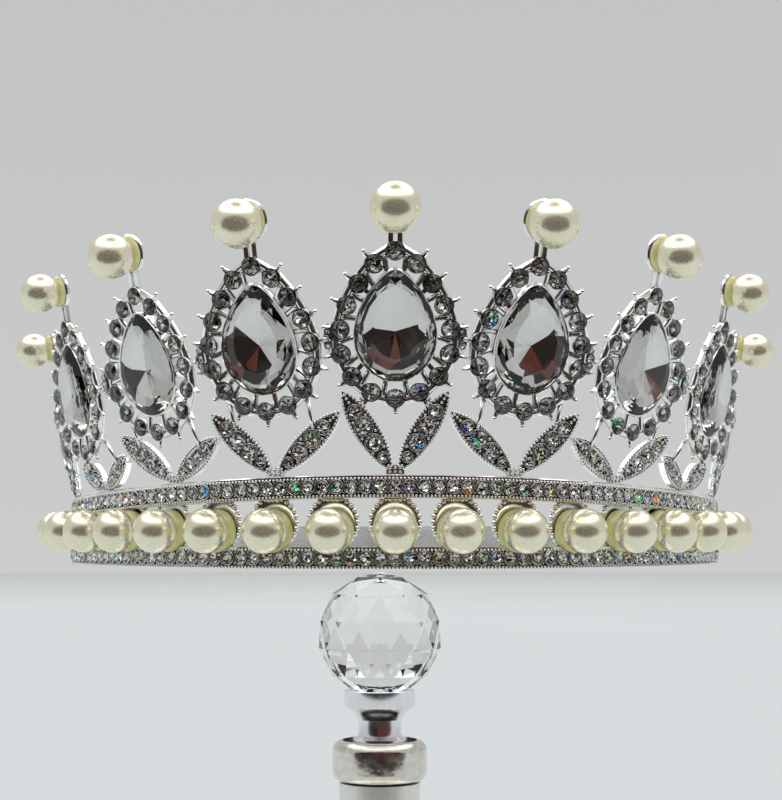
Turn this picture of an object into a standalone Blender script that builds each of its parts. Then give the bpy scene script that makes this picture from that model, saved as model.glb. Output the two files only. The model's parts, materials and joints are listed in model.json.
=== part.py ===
"""A crown tiara with pear stones and imitation pearls, standing on a small display stand.

Metres, +Z up. The front faces -Y, the ring's axis is the Z axis, and the stand's foot rests on z = 0.
"""

import math

import bmesh
import bpy
from mathutils import Matrix, Vector

MM = 0.001

# Clearance between pieces that are seated on each other
SEAT_GAP = 0.3 * MM
# How far one soldered shape reaches into the next, so that the two join
SOLDER_LAP = 0.3 * MM

# The ring. Heights called rises are measured from the level of the pearl row.
PEARL_ROW_HEIGHT = 110.0 * MM
RING_RADIUS = 70.0 * MM
RAIL_THICKNESS = 2.2 * MM
RAIL_HEIGHT = 4.3 * MM
RAIL_LIP = 0.8 * MM
STONE_CHANNEL_DEPTH = 0.5 * MM
UPPER_RAIL_RISE = 6.2 * MM
UPPER_RAIL_DIP = 3.5 * MM
LOWER_RAIL_RISE = -7.2 * MM
RAIL_END = math.radians(90.0)
RAIL_STEPS = 20
BACK_STRIP_HEIGHT = 8.1 * MM
BACK_STRIP_THICKNESS = 1.2 * MM
END_POST_THICKNESS = 1.6 * MM
END_POST_TURN = math.radians(1.6)
END_POST_HALF_WIDTH = math.radians(1.28)

# The pearl row between the rails
BAND_PEARL_RADIUS = 4.3 * MM
BAND_PEARL_TURN = math.radians(9.6)
BAND_PEARLS_EACH_SIDE = 8
PEARL_CUP_RADIUS = 4.85 * MM
PEARL_CUP_THICKNESS = 1.0 * MM
PEARL_CUP_PROUD = 0.25 * MM
PEARL_CUP_RISE = 1.7 * MM
PEARL_CUP_DIP_SHARE = 1 / 3
PEARL_CUP_SIDES = 10

# The leaves of the V pairs
LEAF_WIDTH = 4.8 * MM
LEAF_THICKNESS = 1.2 * MM
LEAF_STATIONS = 5
LEAF_FOOT_WIDTH = 3.4 * MM
LEAF_FOOT_HEIGHT = 1.7 * MM
LEAF_FOOT_THICKNESS = 1.08 * MM
LEAF_ROOT_OUT = 0.77 * MM
LEAF_ROOT_RISE = 0.68 * MM
LEAF_BAR_WIDTH = 0.9 * MM
LEAF_PAIR_TURN = math.radians(18.8)
LEAF_SPREAD = math.radians(7.7)
LEAF_CLIMB = 15.5 * MM
WALL_LEAN = math.radians(16.0)

# One row for each V pair, from the middle outwards. The turns of the two tips from the foot of the V are shares of
# the leaf spread, and their heights over the rail are shares of the leaf climb. Each bar runs from a share of its
# leaf's length to a halo seat, counted from the tip of the drop.
LEAF_COLUMNS = (
    "inner_turn",
    "inner_climb",
    "inner_seat",
    "outer_turn",
    "outer_climb",
    "outer_seat",
    "bar_share",
)
LEAF_ROWS = (
    (1.00, 1.00, 7, 1.00, 1.00, 7, 0.80),
    (1.40, 0.78, 6, 1.24, 0.78, 6, 0.58),
    (1.28, 0.55, 6, 1.36, 0.62, 6, 0.60),
    (1.14, 0.43, 6, 0.98, 0.37, 7, 0.60),
)

# The drops: a pear stone in a bezel, ringed by small round stones
DROP_TURN = math.radians(19.3)
PEAR_SWELL = 0.985
PEAR_TAPER = 0.255
PEAR_POINT = 0.145
STONE_HALF_WIDTH = 6.75 * MM
STONE_HALF_HEIGHT = 9.75 * MM
STONE_TABLE_SHARE = 0.64
STONE_BACK_SHARE = 0.88
STONE_CROWN = 1.8 * MM
STONE_DEPTH = 1.1 * MM
BEZEL_WALL = 0.65 * MM
BEZEL_DEPTH = 2.2 * MM
BEZEL_BACK = 0.5 * MM
PEAR_SIDES = 16
HALO_HALF_WIDTH = 10.3 * MM
HALO_HALF_HEIGHT = 13.8 * MM
HALO_COUNT = 16
HALO_SEAT_RADIUS = 1.9 * MM
HALO_SEAT_DEPTH = 1.6 * MM
HALO_BACK_RADIUS = 1.3 * MM
HALO_TABLE_RADIUS = 0.95 * MM
HALO_CROWN = 0.7 * MM
HALO_FACETS = 8
PEG_WIDTH = 0.8 * MM
PEG_COUNT = 4
LINK_WIDTH = 1.7 * MM
LINK_HEIGHT = 5.6 * MM
LINK_THICKNESS = 0.8 * MM
LINK_DROP = 1.5 * MM
LINK_BAR_WIDTH = 0.6 * MM

# The stem and the cup that carry each top pearl
TOP_PEARL_RADIUS = 4.75 * MM
TOP_CUP_CLIMB = 22.3 * MM
TOP_CUP_THICKNESS = 1.0 * MM
TOP_CUP_SHARE = 0.86
TOP_CUP_SIDES = 10
STEM_POST_WIDTH = 0.9 * MM
STEM_POST_SPREAD = 1.7 * MM
STEM_THICKNESS = 0.8 * MM
STEM_REACH_SHARE = 0.6

# One row for each drop, from the middle outwards: how high its lowest collet stands over the rail, as a share of
# the drop clearance, how far it stands out from the ring's radius, as a share of the drop overhang, how far it leans
# out, as a share of the wall's lean, its top pearl as a share of the largest, and its size as a share of the middle's
DROP_CLEARANCE = 12.3 * MM
DROP_OVERHANG = 6.6 * MM
DROP_COLUMNS = ("clearance", "overhang", "lean", "pearl", "size")
DROP_ROWS = (
    (1.00, 1.00, 1.00, 1.00, 1.00),
    (0.85, 1.00, 1.00, 0.98, 1.00),
    (0.66, 1.00, 0.88, 0.92, 0.97),
    (0.50, 0.96, 0.66, 0.84, 0.92),
    (0.00, 0.36, 0.62, 0.80, 0.86),
)

# The stand. Its ball, cone and post stand a little towards -X from the ring's axis.
STAND_SIDE = -3.3 * MM
DISC_THICKNESS = 2.0 * MM
DISC_RISE = -6.9 * MM
DISC_SIDES = 24
HUB_RADIUS = 8.0 * MM
BALL_RADIUS = 14.0 * MM
BALL_RISE = -23.0 * MM
BALL_SIDES = 12
BALL_TIERS = 8
SOCKET_RADIUS = 7.9 * MM
SOCKET_WALL = 0.8 * MM
SOCKET_HEIGHT = 5.0 * MM
SOCKET_SIDE_HEIGHT = 3.1 * MM
SOCKET_FOOT_RADIUS = 6.3 * MM
NECK_RADIUS = 4.8 * MM
CONE_STEP_RADIUS = 6.3 * MM
CONE_RADIUS = 8.1 * MM
# The neck and the stepped cone below the socket: each radius, and how far down the run to the collar's foot it is
CONE_PROFILE = (
    (NECK_RADIUS, 0.14),
    (NECK_RADIUS, 0.30),
    (CONE_STEP_RADIUS, 0.38),
    (CONE_STEP_RADIUS, 0.50),
    (CONE_RADIUS, 0.70),
    (CONE_RADIUS, 1.00),
)
COLLAR_RADIUS = 10.5 * MM
COLLAR_HEIGHT = 9.0 * MM
COLLAR_ROUND = 1.4 * MM
COLLAR_FOOT_RISE = -55.4 * MM
POST_RADIUS = 9.0 * MM
FOOT_RADIUS = 48.0 * MM
FOOT_HEIGHT = 6.0 * MM
FOOT_ROUND = 1.5 * MM
TURNED_SIDES = 16

RAIL_FACE = RING_RADIUS + RAIL_THICKNESS / 2
RAIL_BACK = RING_RADIUS - RAIL_THICKNESS / 2
ROUND_EDGE = math.radians(50.0)


def table(columns, rows):
    """The rows of a table as dictionaries."""
    return [dict(zip(columns, row)) for row in rows]


def clear_scene():
    """Empty the scene, so that only this part is in it."""
    for thing in list(bpy.data.objects):
        bpy.data.objects.remove(thing, do_unlink=True)


def finish(name, colour, roughness, metallic, transmission=0.0):
    """A plain material for one kind of surface."""
    material = bpy.data.materials.new(name)
    material.use_nodes = True
    shader = material.node_tree.nodes["Principled BSDF"]
    shader.inputs["Base Color"].default_value = (*colour, 1.0)
    shader.inputs["Roughness"].default_value = roughness
    shader.inputs["Metallic"].default_value = metallic
    shader.inputs["Transmission Weight"].default_value = transmission
    material.diffuse_color = (*colour, 1.0)
    return material


def mesh_of(name, points, faces):
    """A closed mesh with its faces pointing out."""
    mesh = bpy.data.meshes.new(name)
    mesh.from_pydata(points, [], faces)
    shape = bmesh.new()
    shape.from_mesh(mesh)
    bmesh.ops.recalc_face_normals(shape, faces=shape.faces)
    shape.to_mesh(mesh)
    shape.free()
    return mesh


def loft(rings, closed=False):
    """Points and faces of a skin through rings of equal length, capped at both ends unless it closes on itself."""
    count = len(rings[0])
    points = [point for ring in rings for point in ring]
    faces = []
    for i in range(len(rings) if closed else len(rings) - 1):
        here = i * count
        there = (i + 1) % len(rings) * count
        for j in range(count):
            k = (j + 1) % count
            faces.append((here + j, here + k, there + k, there + j))
    if not closed:
        faces.append(tuple(range(count)))
        faces.append(tuple(range(len(points) - count, len(points))))
    return points, faces


def block(low, high):
    """Points and faces of a box between two corners."""
    rings = []
    for z in (low[2], high[2]):
        rings.append([(low[0], low[1], z), (high[0], low[1], z), (high[0], high[1], z), (low[0], high[1], z)])
    return loft(rings)


def bar(start, end, width, normal):
    """Points and faces of a square bar between two points, with one side facing along a normal."""
    along = (end - start).normalized()
    across = normal.cross(along).normalized() * width / 2
    out = along.cross(across).normalized() * width / 2
    rings = []
    for centre in (start, end):
        rings.append([centre + across + out, centre - across + out, centre - across - out, centre + across - out])
    return loft(rings)


def disc(centre, radius, thickness, sides):
    """Points and faces of a round plate whose axis is local Z."""
    rings = []
    for z in (centre[2] - thickness / 2, centre[2] + thickness / 2):
        ring = []
        for i in range(sides):
            turn = math.tau * (i + 0.5) / sides
            ring.append((centre[0] + radius * math.sin(turn), centre[1] + radius * math.cos(turn), z))
        rings.append(ring)
    return loft(rings)


def turned(profile, sides, closed=False):
    """Points and faces of a shape turned about Z from its (radius, height) profile."""
    rings = []
    for radius, height in profile:
        ring = []
        for i in range(sides):
            turn = math.tau * (i + 0.5) / sides
            ring.append((radius * math.cos(turn), radius * math.sin(turn), height))
        rings.append(ring)
    return loft(rings, closed)


def joined(shapes):
    """Several separate shapes as one list of points and one of faces."""
    points, faces = [], []
    for shape_points, shape_faces in shapes:
        start = len(points)
        points.extend(shape_points)
        faces.extend(tuple(start + i for i in face) for face in shape_faces)
    return points, faces


def soldered(name, shapes):
    """One mesh made by joining overlapping shapes with unions, in order."""
    parts = []
    for shape in shapes:
        part = bpy.data.objects.new(name + "_stock", mesh_of(name + "_stock", *shape))
        bpy.context.scene.collection.objects.link(part)
        parts.append(part)
    body = parts[0]
    for other in parts[1:]:
        weld = body.modifiers.new("weld", "BOOLEAN")
        weld.operation = "UNION"
        weld.solver = "EXACT"
        weld.object = other
    view = bpy.context.evaluated_depsgraph_get()
    mesh = bpy.data.meshes.new_from_object(body.evaluated_get(view))
    mesh.name = name
    for part in parts:
        bpy.data.objects.remove(part, do_unlink=True)
    return mesh


def place(name, mesh, material, frame=None, smooth=False):
    """Put a mesh in the scene as a named piece, by its own frame."""
    mesh.materials.clear()
    mesh.materials.append(material)
    if smooth:
        mesh.shade_smooth()
        mesh.set_sharp_from_angle(angle=ROUND_EDGE)
    piece = bpy.data.objects.new(name, mesh)
    if frame is not None:
        piece.location = frame.to_translation()
        piece.rotation_euler = frame.to_euler()
    bpy.context.scene.collection.objects.link(piece)
    return piece


def outward(turn):
    """The level direction that points away from the ring's axis, at a turn from the front towards +X."""
    return Vector((math.sin(turn), -math.cos(turn), 0.0))


def wall_frame(turn, reach, rise, lean):
    """A frame on the tiara's wall: local X along the ring, Y up the wall, Z out of it."""
    out = outward(turn)
    across = Vector((math.cos(turn), math.sin(turn), 0.0))
    up = Vector((0.0, 0.0, math.cos(lean))) + out * math.sin(lean)
    face = across.cross(up)
    frame = Matrix((across, up, face)).transposed().to_4x4()
    frame.translation = out * reach + Vector((0.0, 0.0, PEARL_ROW_HEIGHT + rise))
    return frame


def upper_rail_dip(turn):
    """How far the upper rail has come down at a turn from the front."""
    return UPPER_RAIL_DIP * math.sin(turn) ** 2


def upper_rail_top(turn):
    """Rise of the upper rail's top edge."""
    return UPPER_RAIL_RISE + RAIL_HEIGHT - upper_rail_dip(turn)


def swept(profile_at, start, end, steps):
    """Points and faces of a (reach, rise) profile carried round the ring's axis."""
    rings = []
    for i in range(steps + 1):
        turn = start + (end - start) * i / steps
        out = outward(turn)
        rings.append([out * reach + Vector((0, 0, PEARL_ROW_HEIGHT + rise)) for reach, rise in profile_at(turn)])
    return loft(rings)


def rail_profile(foot):
    """Section of a rail: a flat back, and a shallow channel for the stones between two lips."""
    channel = RAIL_FACE - STONE_CHANNEL_DEPTH
    top = foot + RAIL_HEIGHT
    return (
        (RAIL_BACK, foot),
        (RAIL_FACE, foot),
        (channel, foot + RAIL_LIP),
        (channel, top - RAIL_LIP),
        (RAIL_FACE, top - RAIL_LIP),
        (RAIL_FACE, top),
        (RAIL_BACK, top),
    )


def strip_profile(thickness, foot, top):
    """Section of a plain upright strip on the ring's middle radius."""
    inner = RING_RADIUS - thickness / 2
    outer = RING_RADIUS + thickness / 2
    return ((inner, foot), (outer, foot), (outer, top), (inner, top))


def make_base_band(silver):
    """The two rails, the pearl cups between them and the plain strip behind, soldered into one ring."""
    upper = swept(lambda turn: rail_profile(UPPER_RAIL_RISE - upper_rail_dip(turn)), -RAIL_END, RAIL_END, RAIL_STEPS)
    lower = swept(lambda turn: rail_profile(LOWER_RAIL_RISE), -RAIL_END, RAIL_END, RAIL_STEPS)
    strip_foot = LOWER_RAIL_RISE + SOLDER_LAP
    lap = END_POST_TURN / 2
    strip = swept(
        lambda turn: strip_profile(BACK_STRIP_THICKNESS, strip_foot, strip_foot + BACK_STRIP_HEIGHT),
        RAIL_END - lap,
        math.tau - RAIL_END + lap,
        RAIL_STEPS,
    )
    post_top = UPPER_RAIL_RISE - UPPER_RAIL_DIP + RAIL_HEIGHT / 2
    post_foot = LOWER_RAIL_RISE + RAIL_HEIGHT / 2
    posts = []
    for side in (-1, 1):
        middle = side * (RAIL_END - END_POST_TURN)
        posts.append(
            swept(
                lambda turn: strip_profile(END_POST_THICKNESS, post_foot, post_top),
                middle - END_POST_HALF_WIDTH,
                middle + END_POST_HALF_WIDTH,
                1,
            )
        )
    cups = []
    for index in range(-BAND_PEARLS_EACH_SIDE, BAND_PEARLS_EACH_SIDE + 1):
        turn = index * BAND_PEARL_TURN
        rise = PEARL_CUP_RISE - upper_rail_dip(turn) * PEARL_CUP_DIP_SHARE
        frame = wall_frame(turn, RING_RADIUS + PEARL_CUP_PROUD - PEARL_CUP_THICKNESS / 2, rise, 0.0)
        points, faces = disc((0, 0, 0), PEARL_CUP_RADIUS, PEARL_CUP_THICKNESS, PEARL_CUP_SIDES)
        cups.append(([frame @ Vector(point) for point in points], faces))
    rails = joined((upper, lower))
    band = soldered("base_band", (rails, joined(cups), joined(posts), strip))
    place("base_band", band, silver)


def make_band_pearls(pearl):
    """The row of pearls, each glued in front of its cup."""
    reach = RING_RADIUS + PEARL_CUP_PROUD + SEAT_GAP + BAND_PEARL_RADIUS
    for index in range(2 * BAND_PEARLS_EACH_SIDE + 1):
        turn = (index - BAND_PEARLS_EACH_SIDE) * BAND_PEARL_TURN
        frame = wall_frame(turn, reach, 0.0, 0.0)
        place(f"band_pearl_{index + 1:02d}", pearl_mesh(BAND_PEARL_RADIUS), pearl, frame, smooth=True)


def pearl_mesh(radius):
    """A round pearl."""
    mesh = bpy.data.meshes.new("pearl")
    shape = bmesh.new()
    bmesh.ops.create_icosphere(shape, subdivisions=2, radius=radius)
    shape.to_mesh(mesh)
    shape.free()
    return mesh


def wall_point(turn, rise):
    """A point on the leaning wall above the upper rail."""
    reach = RING_RADIUS + (rise - upper_rail_top(turn)) * math.tan(WALL_LEAN)
    return outward(turn) * reach + Vector((0.0, 0.0, PEARL_ROW_HEIGHT + rise))


def leaf(foot, tip, normal):
    """Points and faces of one pointed leaf, a flat plate between its foot and its tip."""
    along = tip - foot
    face = (normal - along * normal.dot(along) / along.length_squared).normalized()
    across = face.cross(along).normalized()
    outline = [foot]
    for side, stations in ((1, range(1, LEAF_STATIONS)), (-1, range(LEAF_STATIONS - 1, 0, -1))):
        for station in stations:
            share = station / LEAF_STATIONS
            half = LEAF_WIDTH / 2 * 4 * share * (1 - share)
            outline.append(foot + along * share + across * side * half)
        if side == 1:
            outline.append(tip)
    step = face * LEAF_THICKNESS / 2
    return loft([[point - step for point in outline], [point + step for point in outline]])


def drop_row(number):
    """The sizes of a drop, numbered from 0 in the middle and negative towards -X."""
    return table(DROP_COLUMNS, DROP_ROWS)[abs(number)]


def drop_rise(number):
    """Rise of a drop's centre, which puts its lowest collet at its own height over the rail."""
    row = drop_row(number)
    below = (HALO_HALF_HEIGHT + HALO_SEAT_RADIUS) * row["size"] * math.cos(WALL_LEAN * row["lean"])
    return upper_rail_top(number * DROP_TURN) + SEAT_GAP + DROP_CLEARANCE * row["clearance"] + below


def drop_frame(number):
    """Frame of a drop: its origin at the drop's centre, local Z out of its face."""
    row = drop_row(number)
    reach = RING_RADIUS + DROP_OVERHANG * row["overhang"]
    return wall_frame(number * DROP_TURN, reach, drop_rise(number), WALL_LEAN * row["lean"])


def make_leaf_pairs(silver):
    """The V pairs of leaves that stand on the upper rail, one under each drop except the last on each side."""
    rows = table(LEAF_COLUMNS, LEAF_ROWS)
    outermost = len(rows) - 1
    for number in range(-outermost, outermost + 1):
        row = rows[abs(number)]
        side = -1 if number < 0 else 1
        size = drop_row(number)["size"]
        turn = number * LEAF_PAIR_TURN
        frame = wall_frame(turn, RING_RADIUS, upper_rail_top(turn), WALL_LEAN)
        inside = frame.inverted()
        up = Vector((0.0, 0.0, 1.0))
        half_width = LEAF_FOOT_WIDTH / 2
        half_depth = LEAF_FOOT_THICKNESS / 2
        shapes = [
            block((-half_width, SEAT_GAP, -half_depth), (half_width, SEAT_GAP + LEAF_FOOT_HEIGHT, half_depth)),
        ]
        for leaf_name, way in (("inner", -side), ("outer", side)):
            tip_turn = turn + way * LEAF_SPREAD * row[leaf_name + "_turn"]
            tip = inside @ wall_point(tip_turn, upper_rail_top(turn) + LEAF_CLIMB * row[leaf_name + "_climb"])
            foot = Vector((way * LEAF_ROOT_OUT, SEAT_GAP + LEAF_ROOT_RISE, 0.0))
            middle_out = inside.to_3x3() @ outward((turn + tip_turn) / 2)
            shapes.append(leaf(foot, tip, middle_out))
            seat_index = row[leaf_name + "_seat"] if way == 1 else HALO_COUNT - row[leaf_name + "_seat"]
            seat = inside @ (drop_frame(number) @ (halo_seats()[seat_index].to_3d() * size))
            start = foot.lerp(tip, row["bar_share"])
            reach = seat - start
            end = start + reach * (1 - (HALO_SEAT_RADIUS * size + SEAT_GAP) / reach.length)
            shapes.append(bar(start, end, LEAF_BAR_WIDTH, up.cross(reach).cross(reach)))
        name = f"leaf_pair_{number + outermost + 1}"
        place(name, soldered(name, shapes), silver, frame)


def pear_point(turn, half_width, half_height):
    """A point of a pear outline with its tip up, at a turn from the tip."""
    height = math.cos(turn)
    swell = PEAR_SWELL - PEAR_TAPER * height - PEAR_POINT * height * height
    return Vector((half_width * math.sin(turn) * swell, half_height * height))


def pear_outline(count, half_width, half_height):
    """Points evenly spaced along a pear outline, the first at its tip."""
    fine = 40 * count
    trace = [pear_point(math.tau * i / fine, half_width, half_height) for i in range(fine + 1)]
    walked = [0.0]
    for before, after in zip(trace, trace[1:]):
        walked.append(walked[-1] + (after - before).length)
    points = []
    i = 0
    for step in range(count):
        goal = walked[-1] * step / count
        while walked[i + 1] < goal:
            i += 1
        share = (goal - walked[i]) / (walked[i + 1] - walked[i])
        points.append(trace[i].lerp(trace[i + 1], share))
    return points


def halo_seats():
    """Centres of the small round stones about a drop."""
    return pear_outline(HALO_COUNT, HALO_HALF_WIDTH, HALO_HALF_HEIGHT)


def pear_ring(half_width, half_height, z):
    """A pear outline as a ring of points at one depth."""
    return [(p.x, p.y, z) for p in pear_outline(PEAR_SIDES, half_width, half_height)]


def halo():
    """Points and faces of the ring of small stones in their collets, each joined to the next by a peg.

    A collet has a square back and eight sides at its rim, so every second side is a four-cornered one. The stone
    above it has eight facets and a table.
    """
    seats = halo_seats()
    points, faces = [], []
    corners = HALO_FACETS // 2
    stride = corners + 2 * HALO_FACETS
    levels = (
        (corners, 0.0, HALO_BACK_RADIUS, -HALO_SEAT_DEPTH / 2),
        (HALO_FACETS, -0.5, HALO_SEAT_RADIUS, HALO_SEAT_DEPTH / 2),
        (HALO_FACETS, -0.5, HALO_TABLE_RADIUS, HALO_SEAT_DEPTH / 2 + HALO_CROWN),
    )
    for i, centre in enumerate(seats):
        ahead = seats[(i + 1) % HALO_COUNT] - seats[i - 1]
        heading = math.atan2(ahead.y, ahead.x)
        for count, shift, radius, z in levels:
            for j in range(count):
                step = 2 * j + 1 if count == corners else j + shift
                turn = heading + math.tau * step / HALO_FACETS
                points.append((centre.x + radius * math.cos(turn), centre.y + radius * math.sin(turn), z))
        back = i * stride
        rim = back + corners
        top = rim + HALO_FACETS
        for j in range(HALO_FACETS):
            k = (j + 1) % HALO_FACETS
            if j % 2:
                faces.append((back + j // 2, rim + k, rim + j))
            elif j not in (0, corners):
                faces.append((back + j // 2 - 1, back + j // 2, rim + k, rim + j))
            faces.append((rim + j, rim + k, top + k, top + j))
        faces.append(tuple(range(back, rim)))
        faces.append(tuple(range(top, top + HALO_FACETS)))
        # The peg runs from the front side of this collet to the rear side of the next
        after = (i + 1) % HALO_COUNT * stride
        here = (back + corners - 1, back, rim + 1, rim)
        there = (after + corners // 2, after + corners // 2 - 1, after + 2 * corners, after + 2 * corners + 1)
        for j in range(4):
            k = (j + 1) % 4
            faces.append((here[j], here[k], there[k], there[j]))
    return points, faces


def bezel():
    """Points and faces of the pear-shaped cup that holds the main stone."""
    inner_width = STONE_HALF_WIDTH + SEAT_GAP
    inner_height = STONE_HALF_HEIGHT + SEAT_GAP
    outer_width = inner_width + BEZEL_WALL
    outer_height = inner_height + BEZEL_WALL
    back = -BEZEL_DEPTH / 2
    rings = (
        pear_ring(outer_width, outer_height, back),
        pear_ring(outer_width, outer_height, back + BEZEL_DEPTH),
        pear_ring(inner_width, inner_height, back + BEZEL_DEPTH),
        pear_ring(inner_width, inner_height, back + BEZEL_BACK),
    )
    return loft(rings)


def link(way, number):
    """Points and faces of the small pointed link beside a drop, and of the bar that carries it."""
    size = drop_row(number)["size"]
    rise_step = drop_rise(abs(number) + 1) - drop_rise(number)
    y = (rise_step / 2 - LINK_DROP) / size
    halfway = (RING_RADIUS + DROP_OVERHANG * drop_row(number)["overhang"]) * math.sin(DROP_TURN / 2)
    x = way * (halfway - SEAT_GAP) / size
    outline = (
        (x - LINK_WIDTH / 2, y),
        (x, y + LINK_HEIGHT / 2),
        (x + LINK_WIDTH / 2, y),
        (x, y - LINK_HEIGHT / 2),
    )
    half = LINK_THICKNESS / 2
    plate = loft([[(px, py, -half) for px, py in outline], [(px, py, half) for px, py in outline]])
    carrier = bar(
        Vector((way * HALO_HALF_WIDTH, y, 0.0)), Vector((x, y, 0.0)), LINK_BAR_WIDTH, Vector((0.0, 0.0, 1.0))
    )
    return [carrier, plate]


def setting_mesh(number):
    """The casting of one drop: bezel, halo, side links, stem and top cup."""
    row = drop_row(number)
    shapes = [halo(), bezel()]
    seats = halo_seats()
    middle = pear_outline(
        PEAR_SIDES,
        STONE_HALF_WIDTH + SEAT_GAP + BEZEL_WALL / 2,
        STONE_HALF_HEIGHT + SEAT_GAP + BEZEL_WALL / 2,
    )
    pegs = []
    for i in range(PEG_COUNT):
        seat = (2 * i + 1) * HALO_COUNT // (2 * PEG_COUNT)
        start = middle[seat * PEAR_SIDES // HALO_COUNT].to_3d()
        pegs.append(bar(start, seats[seat].to_3d(), PEG_WIDTH, Vector((0.0, 0.0, 1.0))))
    shapes.append(joined(pegs))
    cup_radius = TOP_PEARL_RADIUS * row["pearl"] * TOP_CUP_SHARE / row["size"]
    posts = []
    for way in (-1, 1):
        x = way * STEM_POST_SPREAD / 2
        low = (x - STEM_POST_WIDTH / 2, HALO_HALF_HEIGHT, -STEM_THICKNESS / 2)
        high = (x + STEM_POST_WIDTH / 2, TOP_CUP_CLIMB - cup_radius * STEM_REACH_SHARE, STEM_THICKNESS / 2)
        posts.append(block(low, high))
    shapes.append(joined(posts))
    shapes.append(disc((0.0, TOP_CUP_CLIMB, 0.0), cup_radius, TOP_CUP_THICKNESS, TOP_CUP_SIDES))
    if abs(number) + 1 < len(DROP_ROWS):
        for way in (-1, 1) if number == 0 else (-1 if number < 0 else 1,):
            shapes.extend(link(way, number))
    mesh = soldered("setting", shapes)
    mesh.transform(Matrix.Scale(row["size"], 4))
    return mesh


def pear_stone_mesh(number):
    """The main stone: a table, sixteen crown facets, and a smaller back."""
    back = -BEZEL_DEPTH / 2 + BEZEL_BACK + SEAT_GAP
    girdle = back + STONE_DEPTH
    rings = (
        pear_ring(STONE_HALF_WIDTH * STONE_BACK_SHARE, STONE_HALF_HEIGHT * STONE_BACK_SHARE, back),
        pear_ring(STONE_HALF_WIDTH, STONE_HALF_HEIGHT, girdle),
        pear_ring(
            STONE_HALF_WIDTH * STONE_TABLE_SHARE, STONE_HALF_HEIGHT * STONE_TABLE_SHARE, girdle + STONE_CROWN
        ),
    )
    mesh = mesh_of("pear_stone", *loft(rings))
    mesh.transform(Matrix.Scale(drop_row(number)["size"], 4))
    return mesh


def make_drops(silver, crystal, pearl):
    """The nine drops, each with its stone and its top pearl."""
    outermost = len(DROP_ROWS) - 1
    for number in range(-outermost, outermost + 1):
        label = number + outermost + 1
        row = drop_row(number)
        frame = drop_frame(number)
        radius = TOP_PEARL_RADIUS * row["pearl"]
        place(f"setting_{label}", setting_mesh(number), silver, frame)
        place(f"pear_stone_{label}", pear_stone_mesh(number), crystal, frame)
        forward = TOP_CUP_THICKNESS * row["size"] / 2 + SEAT_GAP + radius
        pearl_place = frame @ Matrix.Translation((0.0, TOP_CUP_CLIMB * row["size"], forward))
        place(f"top_pearl_{label}", pearl_mesh(radius), pearl, pearl_place, smooth=True)


def at_row(profile):
    """A turned profile with its heights measured from the pearl row."""
    return [(radius, PEARL_ROW_HEIGHT + rise) for radius, rise in profile]


def on_stand(height):
    """A frame on the stand's own axis."""
    return Matrix.Translation((STAND_SIDE, 0.0, height))


def make_stand_disc(acrylic):
    """The clear disc that fills the lower rail, with a boss that meets the ball."""
    radius = RAIL_BACK - SEAT_GAP
    ball_top = BALL_RISE + BALL_RADIUS
    profile = (
        (HUB_RADIUS, ball_top + SEAT_GAP),
        (HUB_RADIUS, DISC_RISE),
        (radius, DISC_RISE),
        (radius, DISC_RISE + DISC_THICKNESS),
    )
    place("stand_disc", mesh_of("stand_disc", *turned(at_row(profile), DISC_SIDES)), acrylic)


def make_stand_ball(crystal):
    """The faceted ball."""
    mesh = bpy.data.meshes.new("stand_ball")
    shape = bmesh.new()
    bmesh.ops.create_uvsphere(shape, u_segments=BALL_SIDES, v_segments=BALL_TIERS, radius=BALL_RADIUS)
    shape.to_mesh(mesh)
    shape.free()
    place("stand_ball", mesh, crystal, on_stand(PEARL_ROW_HEIGHT + BALL_RISE))


def make_stand_socket(chrome):
    """The cup under the ball and the stepped cone below it, one turned piece."""
    inner = SOCKET_RADIUS - SOCKET_WALL
    ball_at_rim = BALL_RISE - math.sqrt(BALL_RADIUS**2 - inner**2)
    rim = ball_at_rim - SEAT_GAP
    floor = BALL_RISE - BALL_RADIUS - SEAT_GAP
    foot = rim - SOCKET_HEIGHT
    profile = [
        (NECK_RADIUS, floor),
        (inner, rim),
        (SOCKET_RADIUS, rim),
        (SOCKET_RADIUS, rim - SOCKET_SIDE_HEIGHT),
        (SOCKET_FOOT_RADIUS, foot),
    ]
    for radius, share in CONE_PROFILE:
        profile.append((radius, foot + (COLLAR_FOOT_RISE - foot) * share))
    mesh = mesh_of("stand_socket", *turned(at_row(profile), TURNED_SIDES))
    place("stand_socket", mesh, chrome, on_stand(0.0), smooth=True)


def make_stand_collar(nickel):
    """The thick ring about the foot of the cone."""
    inner = CONE_RADIUS + SEAT_GAP
    top = COLLAR_FOOT_RISE + COLLAR_HEIGHT
    profile = (
        (inner, COLLAR_FOOT_RISE),
        (COLLAR_RADIUS - COLLAR_ROUND, COLLAR_FOOT_RISE),
        (COLLAR_RADIUS, COLLAR_FOOT_RISE + COLLAR_ROUND),
        (COLLAR_RADIUS, top - COLLAR_ROUND),
        (COLLAR_RADIUS - COLLAR_ROUND, top),
        (inner, top),
    )
    shape = turned(at_row(profile), TURNED_SIDES, closed=True)
    place("stand_collar", mesh_of("stand_collar", *shape), nickel, on_stand(0.0), smooth=True)


def make_stand_post_and_foot(satin):
    """The plain post and the round foot that it stands on."""
    post = ((POST_RADIUS, FOOT_HEIGHT + SEAT_GAP), (POST_RADIUS, PEARL_ROW_HEIGHT + COLLAR_FOOT_RISE - SEAT_GAP))
    place("stand_post", mesh_of("stand_post", *turned(post, TURNED_SIDES)), satin, on_stand(0.0), smooth=True)
    foot = (
        (FOOT_RADIUS, 0.0),
        (FOOT_RADIUS, FOOT_HEIGHT - FOOT_ROUND),
        (FOOT_RADIUS - FOOT_ROUND, FOOT_HEIGHT),
    )
    mesh = mesh_of("stand_foot", *turned(foot, 2 * TURNED_SIDES))
    place("stand_foot", mesh, satin, on_stand(0.0), smooth=True)


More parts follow.
